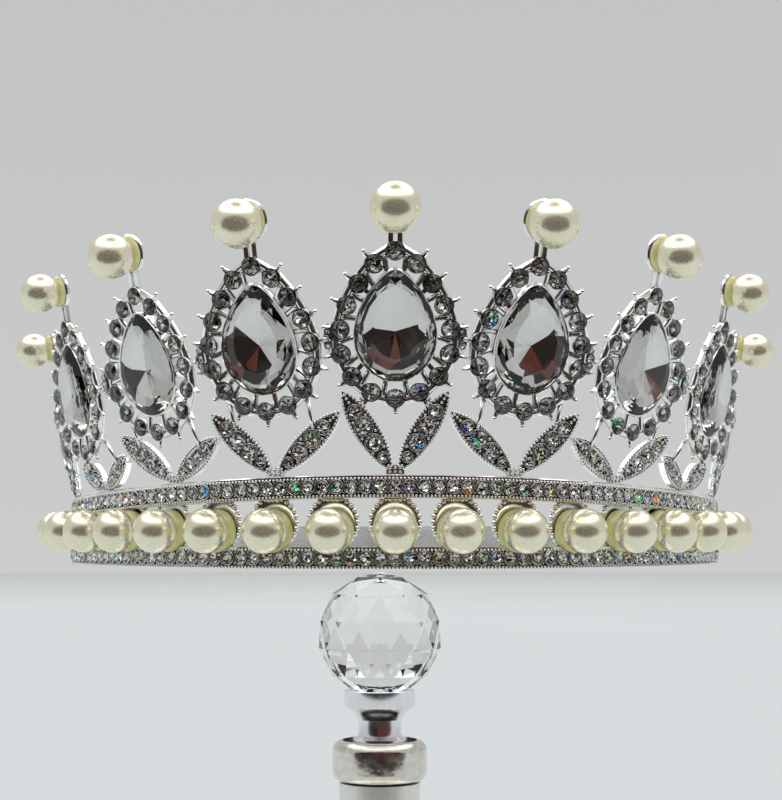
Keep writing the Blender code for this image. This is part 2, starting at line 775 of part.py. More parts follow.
def main():
    """Build the whole part."""
    clear_scene()
    silver = finish("silver_plate", (0.86, 0.86, 0.85), 0.16, 1.0)
    crystal = finish("cut_crystal", (0.92, 0.94, 0.95), 0.03, 0.0, transmission=0.6)
    pearl = finish("imitation_pearl", (0.90, 0.87, 0.76), 0.22, 0.0)
    acrylic = finish("clear_acrylic", (0.95, 0.97, 0.98), 0.05, 0.0, transmission=0.9)
    chrome = finish("chrome", (0.80, 0.81, 0.82), 0.06, 1.0)
    nickel = finish("nickel", (0.66, 0.62, 0.57), 0.20, 1.0)
    satin = finish("satin_metal", (0.78, 0.76, 0.72), 0.35, 1.0)
    make_base_band(silver)
    make_band_pearls(pearl)
    make_leaf_pairs(silver)
    make_drops(silver, crystal, pearl)
    make_stand_disc(acrylic)
    make_stand_ball(crystal)
    make_stand_socket(chrome)
    make_stand_collar(nickel)
    make_stand_post_and_foot(satin)


main()
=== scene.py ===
"""The looks of a rhinestone crown tiara with imitation pearls, on its display stand.

Metres, +Z up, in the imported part's own frame: the front faces -Y and the ring's axis is the Z axis.
"""

import json
import math
import random
import bmesh
import bpy
from mathutils import Matrix, Vector

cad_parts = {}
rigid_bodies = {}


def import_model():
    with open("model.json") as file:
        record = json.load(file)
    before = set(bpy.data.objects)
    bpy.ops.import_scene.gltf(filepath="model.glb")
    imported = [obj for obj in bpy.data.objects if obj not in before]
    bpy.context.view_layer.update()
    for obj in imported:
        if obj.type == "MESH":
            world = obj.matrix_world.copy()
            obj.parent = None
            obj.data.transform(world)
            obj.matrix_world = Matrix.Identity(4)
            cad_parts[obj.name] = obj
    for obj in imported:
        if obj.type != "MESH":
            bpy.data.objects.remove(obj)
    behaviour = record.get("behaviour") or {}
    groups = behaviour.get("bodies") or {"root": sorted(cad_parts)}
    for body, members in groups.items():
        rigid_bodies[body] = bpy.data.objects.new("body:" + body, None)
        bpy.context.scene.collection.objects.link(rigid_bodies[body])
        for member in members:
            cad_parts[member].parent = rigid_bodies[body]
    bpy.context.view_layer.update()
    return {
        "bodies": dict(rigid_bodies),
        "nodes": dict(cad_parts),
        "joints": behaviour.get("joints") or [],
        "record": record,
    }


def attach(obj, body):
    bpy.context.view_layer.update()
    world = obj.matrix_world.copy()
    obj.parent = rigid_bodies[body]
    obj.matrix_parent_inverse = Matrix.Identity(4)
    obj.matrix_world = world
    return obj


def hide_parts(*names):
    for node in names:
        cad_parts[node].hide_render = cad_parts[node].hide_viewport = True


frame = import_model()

MM = 0.001
UP = Vector((0.0, 0.0, 1.0))

# The ring, as it is in the solid part. Rises are measured from the level of the pearl row.
PEARL_ROW_HEIGHT = 110.0 * MM
RING_RADIUS = 70.0 * MM
RAIL_FACE = 71.1 * MM
RAIL_BACK = 68.9 * MM
RAIL_HEIGHT = 4.3 * MM
RAIL_LIP = 0.75 * MM
STONE_CHANNEL_DEPTH = 0.5 * MM
UPPER_RAIL_RISE = 6.2 * MM
UPPER_RAIL_DIP = 3.5 * MM
LOWER_RAIL_RISE = -7.2 * MM
RAIL_END = math.radians(90.0)
RAIL_STEPS = 120
RAIL_SOFTNESS = 0.15 * MM
BACK_STRIP_FOOT = -6.9 * MM
BACK_STRIP_HEIGHT = 8.1 * MM
BACK_STRIP_THICKNESS = 1.2 * MM
END_POST_THICKNESS = 1.6 * MM
END_POST_TURN = math.radians(1.6)
END_POST_HALF_WIDTH = math.radians(1.28)
RAIL_STONE_PITCH = 2.75 * MM
RAIL_STONE_RADIUS = 1.3 * MM
BEAD_PITCH = 0.72 * MM
BEAD_RADIUS = 0.33 * MM
GRAIN_RADIUS = 0.34 * MM
RIM_WALL = 0.14 * MM
RIM_DEPTH = 0.5 * MM
RIM_SHOULDER = 0.08 * MM
RIM_CREST = 0.20 * MM
RIM_SIDES = 20

# The small stones: how unevenly each kind is cut, how their foils tilt, and the rainbow-coloured cells
# painted on the foils as glints
HALO_SHIMMER = 0.04
LEAF_SHIMMER = 0.05
RAIL_SHIMMER = 0.055
FACET_TILT = 0.9
FACET_CELLS = 1900.0
GLINT_CELLS = 1100.0
# The rainbow hues of the painted glints
GLINT_HUES = (
    (0.0, (1.0, 0.80, 0.05)),
    (0.25, (0.10, 0.75, 1.0)),
    (0.45, (0.10, 0.18, 1.0)),
    (0.65, (1.0, 0.35, 0.06)),
    (0.85, (0.10, 0.90, 0.35)),
)
# The level behind a girdle from which a stone is foiled, for round stones as a share of the radius
FOIL_SHARE = 0.03
PEAR_FOIL = 0.03 * MM
# How far the small stones' girdles stand over the metal, and the depth of each back as a share of its radius
STONE_PROUD = 0.12 * MM
LINK_STONE_PROUD = 0.42 * MM
HALO_STONE_BACK = 0.72
RAIL_STONE_BACK = 0.42
LEAF_STONE_BACK = 0.30

# How finely balls are made, the angles that stay sharp, the reach of the painted shade in crevices, and the
# fine marks of the finishes
BEAD_FINENESS = 1
KNOB_FINENESS = 2
PEARL_FINENESS = 5
CASTING_SHARP = math.radians(40.0)
TURNED_SHARP = math.radians(30.0)
CREVICE_SHADE_REACH = 1.2 * MM
FINE_MARK = 0.02 * MM
HAMMER_MARK = 0.10 * MM
GLUE_MARK = 0.15 * MM

# The pearl row
BAND_PEARL_RADIUS = 4.3 * MM
BAND_PEARL_TURN = math.radians(9.6)
BAND_PEARLS_EACH_SIDE = 8
BAND_GLUE_DEPTH = 2.3 * MM
TOP_GLUE_DEPTH = 1.5 * MM
BAND_GLUE_WIDTH = 1.0
TOP_GLUE_WIDTH = 0.82
GLUE_FOOT = 0.30
# The glue's outline from its back, as shares of its width and depth
GLUE_OUTLINE = ((0.93, 0.0), (0.98, 0.17), (0.96, 0.57), (0.88, 0.83), (0.72, 1.0))
SEAT_GAP = 0.3 * MM
PEARL_CUP_RADIUS = 4.85 * MM
PEARL_CUP_THICKNESS = 1.0 * MM
PEARL_CUP_FRONT = RING_RADIUS + 0.25 * MM
PEARL_CUP_RISE = 1.7 * MM
PEARL_CUP_DIP_SHARE = 1 / 3
PEARL_CUP_SIDES = 40
CUP_BEADS = 26
CUP_BEAD_RADIUS = 0.56 * MM
CUP_BEAD_BACK = 0.35 * MM
LUG_WIDTH = 2.6 * MM
LUG_ROW_STEP = 0.9 * MM
LUG_RISE = 0.35 * MM

# The leaves
LEAF_WIDTH = 4.8 * MM
LEAF_THICKNESS = 1.2 * MM
LEAF_STATIONS = 14
LEAF_EDGE = 0.1 * MM
LEAF_HOLLOW = 0.35 * MM
LEAF_FOOT_WIDTH = 3.4 * MM
LEAF_FOOT_HEIGHT = 1.7 * MM
LEAF_FOOT_THICKNESS = 1.08 * MM
LEAF_ROOT_OUT = 0.77 * MM
LEAF_ROOT_RISE = 0.68 * MM
LEAF_BAR_WIDTH = 0.9 * MM
LEAF_PAIR_TURN = math.radians(18.8)
LEAF_SPREAD = math.radians(7.7)
LEAF_CLIMB = 15.5 * MM
LEAF_STONES = (0.17, 0.355, 0.56, 0.745)
LEAF_STONE_BORDER = 0.62 * MM
LEAF_STONE_LIMIT = 0.104
LEAF_END_GRAINS = (0.06, 0.86, 0.91, 0.955)
LEAF_GRAIN_SINK = 0.05 * MM
FOOT_GRAIN_STEP = 0.95 * MM
FOOT_GRAIN_RISE = 0.45 * MM
FOOT_GRAIN_ROW_STEP = 0.8 * MM
ROUND_BAR_SIDES = 12
LEAF_FULLNESS = 0.7
WALL_LEAN = math.radians(16.0)
LEAF_COLUMNS = (
    "inner_turn", "inner_climb", "inner_seat", "outer_turn", "outer_climb", "outer_seat", "bar_share",
)
LEAF_ROWS = (
    (1.00, 1.00, 7, 1.00, 1.00, 7, 0.80),
    (1.40, 0.78, 6, 1.24, 0.78, 6, 0.58),
    (1.28, 0.55, 6, 1.36, 0.62, 6, 0.60),
    (1.14, 0.43, 6, 0.98, 0.37, 7, 0.60),
)

# The drops
DROP_TURN = math.radians(19.3)
PEAR_SWELL = 0.985
PEAR_TAPER = 0.255
PEAR_POINT = 0.145
STONE_HALF_WIDTH = 7.3 * MM
STONE_HALF_HEIGHT = 10.3 * MM
BEZEL_WALL = 0.4 * MM
BEZEL_DEPTH = 2.2 * MM
BEZEL_BACK = 0.5 * MM
BEZEL_SOFTNESS = 0.15 * MM
BEZEL_STEPS = 64
PEAR_STONE_SINK = 0.1 * MM
HALO_HALF_WIDTH = 10.3 * MM
HALO_HALF_HEIGHT = 13.8 * MM
HALO_COUNT = 16
HALO_SEAT_RADIUS = 1.9 * MM
HALO_SEAT_DEPTH = 1.6 * MM
HALO_STONE_RADIUS = 1.78 * MM
HALO_STONE_PROUD = 0.05 * MM
KNOB_REACH = 3.0 * MM
KNOB_RADIUS = 0.48 * MM
KNOB_ROOT_RADIUS = 0.72 * MM
KNOB_STEM_RADIUS = 0.34 * MM
KNOB_RISE = 0.6 * MM
KNOB_ROOT_RISE = 0.2 * MM
PEG_WIDTH = 0.8 * MM
PEG_SEATS = (2, 6, 10, 14)
HALO_RAIL_RADIUS = 0.85 * MM
CLAW_RADIUS = 0.52 * MM
CLAW_RISE = 0.55 * MM
LINK_WIDTH = 1.7 * MM
LINK_HEIGHT = 5.6 * MM
LINK_THICKNESS = 0.8 * MM
LINK_DROP = 1.5 * MM
LINK_SIDES = 12
LINK_POINT = 1.5
LINK_STONES = ((0.0, 0.85 * MM), (1.45 * MM, 0.6 * MM), (-1.45 * MM, 0.6 * MM))
TOP_PEARL_RADIUS = 4.75 * MM
TOP_CUP_CLIMB = 22.3 * MM
TOP_CUP_THICKNESS = 1.0 * MM
TOP_CUP_SHARE = 0.86
TOP_CUP_SIDES = 48
STEM_POST_WIDTH = 0.9 * MM
STEM_POST_SPREAD = 1.7 * MM
STEM_THICKNESS = 0.8 * MM
DROP_CLEARANCE = 12.3 * MM
DROP_OVERHANG = 6.6 * MM
DROP_COLUMNS = ("clearance", "overhang", "lean", "pearl", "size")
DROP_ROWS = (
    (1.00, 1.00, 1.00, 1.00, 1.00),
    (0.85, 1.00, 1.00, 0.98, 1.00),
    (0.66, 1.00, 0.88, 0.92, 0.97),
    (0.50, 0.96, 0.66, 0.84, 0.92),
    (0.00, 0.36, 0.62, 0.80, 0.86),
)
OUTERMOST_DROP = len(DROP_ROWS) - 1
OUTERMOST_LEAF = len(LEAF_ROWS) - 1

# The stand, whose axis is a little towards -X from the ring's
STAND_SIDE = -3.3 * MM
BALL_RADIUS = 14.0 * MM
BALL_RISE = -23.0 * MM
# The ball's corners: how many at each level, their turn as a share of a step, and their climb in degrees
BALL_TIERS = (
    (1, 0.0, 90.0),
    (6, 0.5, 66.0),
    (12, 0.0, 40.0),
    (12, 0.5, 13.0),
    (12, 0.0, -13.0),
    (12, 0.5, -40.0),
    (6, 0.0, -66.0),
    (1, 0.0, -90.0),
)
SOCKET_RADIUS = 7.9 * MM
SOCKET_WALL = 0.8 * MM
SOCKET_HEIGHT = 5.0 * MM
SOCKET_SIDE_HEIGHT = 3.1 * MM
SOCKET_FOOT_RADIUS = 6.3 * MM
NECK_RADIUS = 4.8 * MM
CONE_STEP_RADIUS = 6.3 * MM
CONE_RADIUS = 8.1 * MM
COLLAR_RADIUS = 10.5 * MM
COLLAR_HEIGHT = 9.0 * MM
COLLAR_ROUND = 2.2 * MM
COLLAR_STEPS = 8
COLLAR_FOOT_RISE = -55.4 * MM
POST_RADIUS = 9.0 * MM
FOOT_RADIUS = 48.0 * MM
FOOT_HEIGHT = 6.0 * MM
FOOT_ROUND = 1.5 * MM
FOOT_STEPS = 6
TURNED_SIDES = 96

# The room and the camera
CAMERA_DISTANCE = 420.0 * MM
CAMERA_PITCH = math.radians(4.02)
CAMERA_LENS = 83.9
CAMERA_SIDE = -0.8 * MM
FLOOR_RADIUS = 4.6
FLOOR_SIDES = 128
# A dark sheet of painted shade laid in front on the floor, seen only in reflections
SHADE_SHEET_REACH = 0.24
SHADE_SHEET_BEND = 1.3
SHADE_SHEET_TURN = math.radians(64.0)
SHADE_SHEET_STEPS = 12
LAMP_RISE = 1.0
LAMP_RADIUS = 1.05
LAMP_HOLE = 0.40
LAMP_FORWARD = -0.14
LAMP_SIDES = 64
LAMP_STRENGTH = 2.2
WALL_GREY = (0.60, 0.61, 0.61)
UPPER_WALL_GREY = (0.53, 0.54, 0.54)
CEILING_WHITE = (1.35, 1.35, 1.32)
CEILING_GREY = (0.34, 0.33, 0.32)
ROOM_BLACK = (0.012, 0.010, 0.009)
ROOM_MAROON = (0.12, 0.040, 0.030)
DARK_OVAL_WIDTH = 1.2
DARK_OVAL_HEIGHT = 4.4

rng = random.Random(7)


def table(columns, rows):
    """The rows of a table as dictionaries."""
    return [dict(zip(columns, row)) for row in rows]


# Shapes


def loft(rings, closed=False, capped=True):
    """Points and faces of a skin through rings of equal length."""
    count = len(rings[0])
    points = [Vector(point) for ring in rings for point in ring]
    faces = []
    for i in range(len(rings) if closed else len(rings) - 1):
        here = i * count
        there = (i + 1) % len(rings) * count
        for j in range(count):
            k = (j + 1) % count
            faces.append((here + j, here + k, there + k, there + j))
    if capped and not closed:
        faces.append(tuple(reversed(range(count))))
        faces.append(tuple(range(len(points) - count, len(points))))
    return points, faces


def lathe(profile, sides, closed=False):
    """Points and faces of a shape turned about Z from its (radius, height) profile, upwards outside."""
    rings = []
    for radius, height in profile:
        ring = []
        for i in range(sides):
            turn = math.tau * (i + 0.5) / sides
            ring.append((radius * math.cos(turn), radius * math.sin(turn), height))
        rings.append(ring)
    return loft(rings, closed)


def block(low, high):
    """Points and faces of a box between two corners."""
    rings = []
    for z in (low[2], high[2]):
        rings.append([(low[0], low[1], z), (high[0], low[1], z), (high[0], high[1], z), (low[0], high[1], z)])
    return loft(rings)


def bar(start, end, width, normal):
    """Points and faces of a square bar between two points, with one side facing along a normal."""
    along = (end - start).normalized()
    across = normal.cross(along).normalized() * width / 2
    out = along.cross(across).normalized() * width / 2
    rings = []
    for centre in (start, end):
        rings.append([
            centre - across - out,
            centre + across - out,
            centre + across + out,
            centre - across + out,
        ])
    return loft(rings)


def rod(start, end, radius, end_radius, sides=8):
    """Points and faces of a round rod between two points, of its own radius at each."""
    turn = (end - start).to_track_quat("Z", "Y").to_matrix().to_4x4()
    turn.translation = start
    points, faces = lathe(((radius, 0.0), (end_radius, (end - start).length)), sides)
    return [turn @ point for point in points], faces


def ball(radius, fine):
    """Points and faces of a round ball."""
    shape = bmesh.new()
    bmesh.ops.create_icosphere(shape, subdivisions=fine, radius=radius)
    points = [vertex.co.copy() for vertex in shape.verts]
    faces = [tuple(vertex.index for vertex in face.verts) for face in shape.faces]
    shape.free()
    return points, faces


def hull(points):
    """Points and faces of the convex solid round some points: how a cut stone's facets meet."""
    shape = bmesh.new()
    for point in points:
        shape.verts.new(point)
    result = bmesh.ops.convex_hull(shape, input=shape.verts)
    loose = [item for item in result["geom_interior"] if isinstance(item, bmesh.types.BMVert)]
    bmesh.ops.delete(shape, geom=loose, context="VERTS")
    bmesh.ops.recalc_face_normals(shape, faces=shape.faces)
    shape.verts.index_update()
    made = [vertex.co.copy() for vertex in shape.verts]
    faces = [tuple(vertex.index for vertex in face.verts) for face in shape.faces]
    shape.free()
    return made, faces


def new_object(name, points, faces, materials):
    """An object in the scene with a new mesh."""
    mesh = bpy.data.meshes.new(name)
    mesh.from_pydata(points, [], faces)
    for material in materials:
        mesh.materials.append(material)
    made = bpy.data.objects.new(name, mesh)
    bpy.context.scene.collection.objects.link(made)
    return made


class Stock:
    """A mesh in the making: shapes are stamped into it, each in its own place and finish."""

    def __init__(self):
        self.points = []
        self.faces = []
        self.finishes = []
        self.smooth = []

    def stamp(self, shape, place=None, finish=0, smooth=False):
        """Add a shape, moved by a frame."""
        points, faces = shape
        start = len(self.points)
        self.points.extend(points if place is None else [place @ point for point in points])
        for face in faces:
            self.faces.append(tuple(start + i for i in face))
            self.finishes.append(finish(face) if callable(finish) else finish)
            self.smooth.append(smooth)

    def dot(self, shape, frame, seat):
        """Add a smooth shape at a seat in a frame."""
        self.stamp(shape, frame @ Matrix.Translation(seat), smooth=True)

    def piece(self, name, materials, replaces=(), sharp=None):
        """Make the mesh an object of the part."""
        made = new_object(name, self.points, self.faces, materials)
        mesh = made.data
        mesh.polygons.foreach_set("material_index", self.finishes)
        mesh.polygons.foreach_set("use_smooth", self.smooth)
        if sharp is not None:
            mesh.set_sharp_from_angle(angle=sharp)
        mesh.update()
        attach(made, "root")
        if replaces:
            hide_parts(*replaces)


# Places on the tiara


def outward(turn):
    """The level direction that points away from the ring's axis, at a turn from the front towards +X."""
    return Vector((math.sin(turn), -math.cos(turn), 0.0))


def ring_point(turn, reach, rise):
    """A point at a turn from the front, a reach from the ring's axis and a rise from the pearl row."""
    return outward(turn) * reach + UP * (PEARL_ROW_HEIGHT + rise)


def wall_frame(turn, reach, rise, lean):
    """A frame on the tiara's wall: local X along the ring, Y up the wall, Z out of it."""
    out = outward(turn)
    across = Vector((math.cos(turn), math.sin(turn), 0.0))
    up = UP * math.cos(lean) + out * math.sin(lean)
    face = across.cross(up)
    made = Matrix((across, up, face)).transposed().to_4x4()
    made.translation = ring_point(turn, reach, rise)
    return made


def upper_rail_dip(turn):
    """How far the upper rail has come down at a turn from the front."""
    return UPPER_RAIL_DIP * math.sin(turn) ** 2


def upper_rail_top(turn):
    """Rise of the upper rail's top edge."""
    return UPPER_RAIL_RISE + RAIL_HEIGHT - upper_rail_dip(turn)


def wall_point(turn, rise):
    """A point on the leaning wall above the upper rail."""
    reach = RING_RADIUS + (rise - upper_rail_top(turn)) * math.tan(WALL_LEAN)
    return ring_point(turn, reach, rise)


def drop_row(number):
    """The sizes of a drop, numbered from 0 in the middle and negative towards -X."""
    return table(DROP_COLUMNS, DROP_ROWS)[abs(number)]


def drop_rise(number):
    """Rise of a drop's centre."""
    row = drop_row(number)
    below = (HALO_HALF_HEIGHT + HALO_SEAT_RADIUS) * row["size"] * math.cos(WALL_LEAN * row["lean"])
    return upper_rail_top(number * DROP_TURN) + SEAT_GAP + DROP_CLEARANCE * row["clearance"] + below


def drop_frame(number):
    """Frame of a drop at its own size: its origin at the drop's centre, local Z out of its face."""
    row = drop_row(number)
    reach = RING_RADIUS + DROP_OVERHANG * row["overhang"]
    made = wall_frame(number * DROP_TURN, reach, drop_rise(number), WALL_LEAN * row["lean"])
    return made @ Matrix.Scale(row["size"], 4)


def pear_point(turn, half_width, half_height):
    """A point of a pear outline with its tip up, at a turn from the tip."""
    height = math.cos(turn)
    swell = PEAR_SWELL - PEAR_TAPER * height - PEAR_POINT * height * height
    return Vector((half_width * math.sin(turn) * swell, half_height * height))


def pear_outline(count, half_width, half_height, shift=0.0):
    """Points evenly spaced along a pear outline, the first at its tip and the rest clockwise."""
    fine = 40 * count
    trace = [pear_point(math.tau * i / fine, half_width, half_height) for i in range(fine + 1)]
    walked = [0.0]
    for before, after in zip(trace, trace[1:]):
        walked.append(walked[-1] + (after - before).length)
    points = []
    i = 0
    for step in range(count):
        goal = walked[-1] * (step + shift) / count
        while walked[i + 1] < goal:
            i += 1
        share = (goal - walked[i]) / (walked[i + 1] - walked[i])
        points.append(trace[i].lerp(trace[i + 1], share))
    return points


def halo_seats():
    """Centres of the small round stones about a drop, and the way out from the drop at each."""
    seats = pear_outline(HALO_COUNT, HALO_HALF_WIDTH, HALO_HALF_HEIGHT)
    made = []
    for i, seat in enumerate(seats):
        ahead = seats[(i + 1) % HALO_COUNT] - seats[i - 1]
        made.append((seat.to_3d(), Vector((-ahead.y, ahead.x, 0.0)).normalized()))
    return made


# Cut stones


def round_stone(radius, shimmer, depth):
    """A round stone, its girdle at z = 0: a table, crown facets and a foiled back, none cut quite alike.

    The depth is that of the back, as a share of the radius.
    """
    points = []
    keel = rng.uniform(0.72, 0.83)
    for count, shift, share, z in (
        (8, 0.0, 0.50, 0.34),
        (8, 0.5, 0.80, 0.24),
        (16, 0.0, 1.0, 0.0),
        (16, 0.0, 1.0, -0.04),
        (8, 0.0, 0.82, -0.42 * depth),
        (8, 0.5, 0.50, -keel * depth),
        (1, 0.0, 0.0, -depth),
    ):
        loose = shimmer if share < 1 else 0.0
        lift = loose * depth if z < 0 else loose
        for i in range(count):
            turn = math.tau * (i + shift) / count
            point = Vector((math.cos(turn) * share, math.sin(turn) * share, z))
            point += Vector([rng.uniform(-reach, reach) for reach in (loose, loose, lift)])
            points.append(point * radius)
    return hull(points)


def pear_stone():
    """The large pear stone, its girdle at z = 0, with kite facets over a shallow foiled back."""
    points = []
    heel = Vector((0.0, -1.2 * MM))
    for count, shift, share, z, loose in (
        (12, 0.0, 0.60, 1.75, 0.0),
        (16, 0.5, 0.82, 1.25, 0.10),
        (32, 0.0, 1.0, 0.10, 0.0),
        (32, 0.0, 1.0, -0.05, 0.0),
        (16, 0.5, 0.90, -0.30, 0.03),
        (7, 0.3, 0.50, -0.88, 0.06),
        (1, 0.0, 0.0, -1.58, 0.0),
    ):
        for point in pear_outline(count, STONE_HALF_WIDTH, STONE_HALF_HEIGHT, shift):
            seat = heel + (point - heel) * share if z < 0 else point * share
            lift = rng.uniform(-loose, loose)
            points.append(Vector((seat.x, seat.y, (z + lift) * MM)) + Vector((lift, -lift, 0.0)) * 2 * MM)
    return hull(points)


def set_stone(stock, place, radius, shimmer, depth):
    """Set a round stone, turned any way, with its girdle at a place."""
    stone = round_stone(radius, shimmer, depth)
    turned = place @ Matrix.Rotation(rng.uniform(0, math.tau), 4, "Z")
    stock.stamp(stone, turned, foiled(stone, -FOIL_SHARE * radius))


def foiled(shape, level):
    """Finish of a stone's faces: clear in front, foiled behind a level."""
    points = shape[0]

    def finish(face):
        middle = sum((points[i].z for i in face)) / len(face)
        return 1 if middle < level else 0

    return finish


# Finishes


class Wire:
    """A socket that takes part in expressions."""

    def __init__(self, finish, socket):
        self.finish = finish
        self.socket = socket

    def math(self, operation, other):
        """A Math node on this value and another."""
        return self.finish.node("ShaderNodeMath", {"operation": operation}, {0: self, 1: other})

    def __add__(self, other):
        return self.math("ADD", other)

    __radd__ = __add__

    def __mul__(self, other):
        return self.math("MULTIPLY", other)

    __rmul__ = __mul__


class Finish:
    """A material or world in the making."""

    def __init__(self, owner):
        self.owner = owner
        owner.use_nodes = True
        self.tree = owner.node_tree
        self.tree.nodes.clear()

    def node(self, kind, settings=None, values=None, out=0):
        """Add a node: its settings first, then the values or links of its sockets."""
        made = self.tree.nodes.new(kind)
        for name, value in (settings or {}).items():
            if name == "stops":
                self.set_stops(made.color_ramp, value)
            else:
                setattr(made, name, value)
        for name, value in (values or {}).items():
            if isinstance(value, Wire):
                self.tree.links.new(value.socket, made.inputs[name])
            else:
                made.inputs[name].default_value = value
        return Wire(self, made.outputs[out]) if made.outputs else made

    def set_stops(self, ramp, stops):
        """Set a ramp's stops from (place, colour) pairs."""
        while len(ramp.elements) > 1:
            ramp.elements.remove(ramp.elements[-1])
        for i, (place, colour) in enumerate(stops):
            element = ramp.elements[0] if i == 0 else ramp.elements.new(place)
            element.position = place
            element.color = (*colour, 1.0)

    def mix(self, factor, first, second):
        """A colour between two colours."""
        values = {0: factor, 6: tint(first), 7: tint(second)}
        return self.node("ShaderNodeMix", {"data_type": "RGBA"}, values, out=2)

    def places(self):
        """Where a point of the surface is, in metres in the part's frame."""
        return self.node("ShaderNodeTexCoord", out="Object")

    def noise(self, scale, detail=2.0, roughness=0.5):
        """A soft random value over the surface."""
        values = {"Vector": self.places(), "Scale": scale, "Detail": detail, "Roughness": roughness}
        return self.node("ShaderNodeTexNoise", {}, values)

    def between(self, value, low, high, start=0.0, end=1.0):
        """A value's place between two others, held to them."""
        values = {"Value": value, 1: low, 2: high, 3: start, 4: end}
        return self.node("ShaderNodeMapRange", {}, values)

    def drift(self, value, low, high, first, second):
        """A colour that goes from one to another between two levels of a value."""
        return self.mix(self.between(value, low, high), first, second)

    def cells(self, scale):
        """A random colour for each small cell of the surface."""
        return self.node("ShaderNodeTexVoronoi", {}, {"Vector": self.places(), "Scale": scale}, out="Color")

    def parts(self, value):
        """The three numbers of a direction or a colour."""
        split = self.node("ShaderNodeSeparateXYZ", {}, {0: value}).socket.node
        return [Wire(self, socket) for socket in split.outputs]

    def vector(self, operation, *values):
        """A Vector Math node."""
        return self.node("ShaderNodeVectorMath", {"operation": operation}, dict(enumerate(values)))

    def bumps(self, height, distance, strength=1.0):
        """A normal from a height over the surface."""
        return self.node("ShaderNodeBump", {}, {"Strength": strength, "Distance": distance, "Height": height})

    def surface(self, **values):
        """The shader, from the names of its sockets with underscores for spaces."""
        sockets = {name.replace("_", " "): tint(value) for name, value in values.items()}
        shader = self.node("ShaderNodeBsdfPrincipled", {}, sockets)
        self.node("ShaderNodeOutputMaterial", {}, {"Surface": shader})
        return self.owner


def tint(value):
    """A colour with its fourth number, or the value as it is."""
    return (*value, 1.0) if isinstance(value, tuple) and len(value) == 3 else value


def new_finish(name):
    """A material in the making."""
    return Finish(bpy.data.materials.new(name))


def make_silver():
    """Bright plated castings, with painted shade darkening their crevices."""
    made = new_finish("silver_plate_finish")
    # Painted shade: ambient occlusion darkens the base colour in the castings' crevices.
    shade = made.node("ShaderNodeAmbientOcclusion", {"samples": 4}, {"Distance": CREVICE_SHADE_REACH}, out="AO")
    worn = made.noise(260.0, 3.0)
    colour = made.drift(shade, 0.15, 0.85, (0.16, 0.15, 0.14), (0.95, 0.95, 0.94))
    roughness = made.between(worn, 0.3, 0.7, 0.10, 0.20)
    pits = made.noise(2600.0, 2.0)
    return made.surface(
        Base_Color=colour,
        Metallic=1.0,
        Roughness=roughness,
        Normal=made.bumps(pits, FINE_MARK, 0.2),
    )


def make_crystal():
    """Clear cut glass."""
    made = new_finish("cut_crystal_finish")
    cloud = made.noise(40.0)
    colour = made.drift(cloud, 0.35, 0.65, (0.955, 0.965, 0.965), (0.985, 0.99, 0.985))
    return made.surface(Base_Color=colour, Roughness=0.0, Transmission_Weight=1.0, IOR=1.54)


def make_foil():
    """The mirror foil behind the pear stones."""
    made = new_finish("stone_foil_finish")
    cloud = made.noise(90.0, 1.0)
    colour = made.drift(cloud, 0.35, 0.65, (0.76, 0.74, 0.72), (0.82, 0.82, 0.80))
    return made.surface(Base_Color=colour, Metallic=1.0, Roughness=0.03)


def make_glint_foil():
    """The mirror foil behind the small stones, with a few cells painted in rainbow colours as painted glints.
    """
    made = new_finish("glint_foil_finish")
    cloud = made.noise(90.0, 1.0)
    plain = made.drift(cloud, 0.35, 0.65, (0.76, 0.74, 0.72), (0.82, 0.82, 0.80))
    # Painted glints: a few cells of the foil's colour are painted in rainbow hues for the stones' coloured
    # fire.
    chance, pick, _ = made.parts(made.cells(GLINT_CELLS))
    hue = made.node("ShaderNodeValToRGB", {"stops": GLINT_HUES}, {0: pick})
    tilt = made.vector("MULTIPLY_ADD", made.cells(FACET_CELLS), (FACET_TILT,) * 3, (-FACET_TILT / 2,) * 3)
    leaning = made.vector("ADD", made.node("ShaderNodeNewGeometry", out="Normal"), tilt)
    return made.surface(
        Base_Color=made.drift(chance, 0.92, 0.94, plain, hue),
        Metallic=1.0,
        Roughness=0.04,
        Normal=made.vector("NORMALIZE", leaning),
    )


def make_pearl():
    """Cream imitation pearl: a lustrous skin over a warm core."""
    made = new_finish("imitation_pearl_finish")
    cloud = made.noise(120.0, 2.0)
    colour = made.drift(cloud, 0.3, 0.7, (0.92, 0.87, 0.64), (0.95, 0.90, 0.72))
    skin = made.noise(1800.0, 2.0)
    return made.surface(
        Base_Color=colour,
        Metallic=0.74,
        Roughness=made.between(skin, 0.3, 0.7, 0.24, 0.28),
        Coat_Weight=0.12,
        Coat_Roughness=0.16,
        Normal=made.bumps(skin, FINE_MARK, 0.04),
    )


def make_glue():
    """The yellowed glue behind the pearls."""
    made = new_finish("pearl_glue_finish")
    cloud = made.noise(500.0, 2.0)
    colour = made.drift(cloud, 0.3, 0.7, (0.66, 0.63, 0.22), (0.82, 0.78, 0.38))
    return made.surface(
        Base_Color=colour,
        Roughness=0.22,
        Coat_Weight=0.4,
        Normal=made.bumps(cloud, GLUE_MARK, 0.6),
    )


def make_chrome():
    """Polished chrome with faint turning marks."""
    made = new_finish("chrome_finish")
    marks = made.noise(700.0, 2.0)
    colour = made.drift(marks, 0.3, 0.7, (0.78, 0.79, 0.82), (0.86, 0.87, 0.89))
    return made.surface(Base_Color=colour, Metallic=1.0, Roughness=made.between(marks, 0.3, 0.7, 0.16, 0.22))


def make_nickel():
    """Warm nickel with a hammered glint."""
    made = new_finish("nickel_finish")
    dents = made.noise(600.0, 1.0)
    colour = made.drift(dents, 0.3, 0.7, (0.67, 0.63, 0.57), (0.81, 0.78, 0.73))
    return made.surface(
        Base_Color=colour,
        Metallic=1.0,
        Roughness=made.between(dents, 0.3, 0.7, 0.14, 0.22),
        Normal=made.bumps(dents, HAMMER_MARK, 0.5),
    )


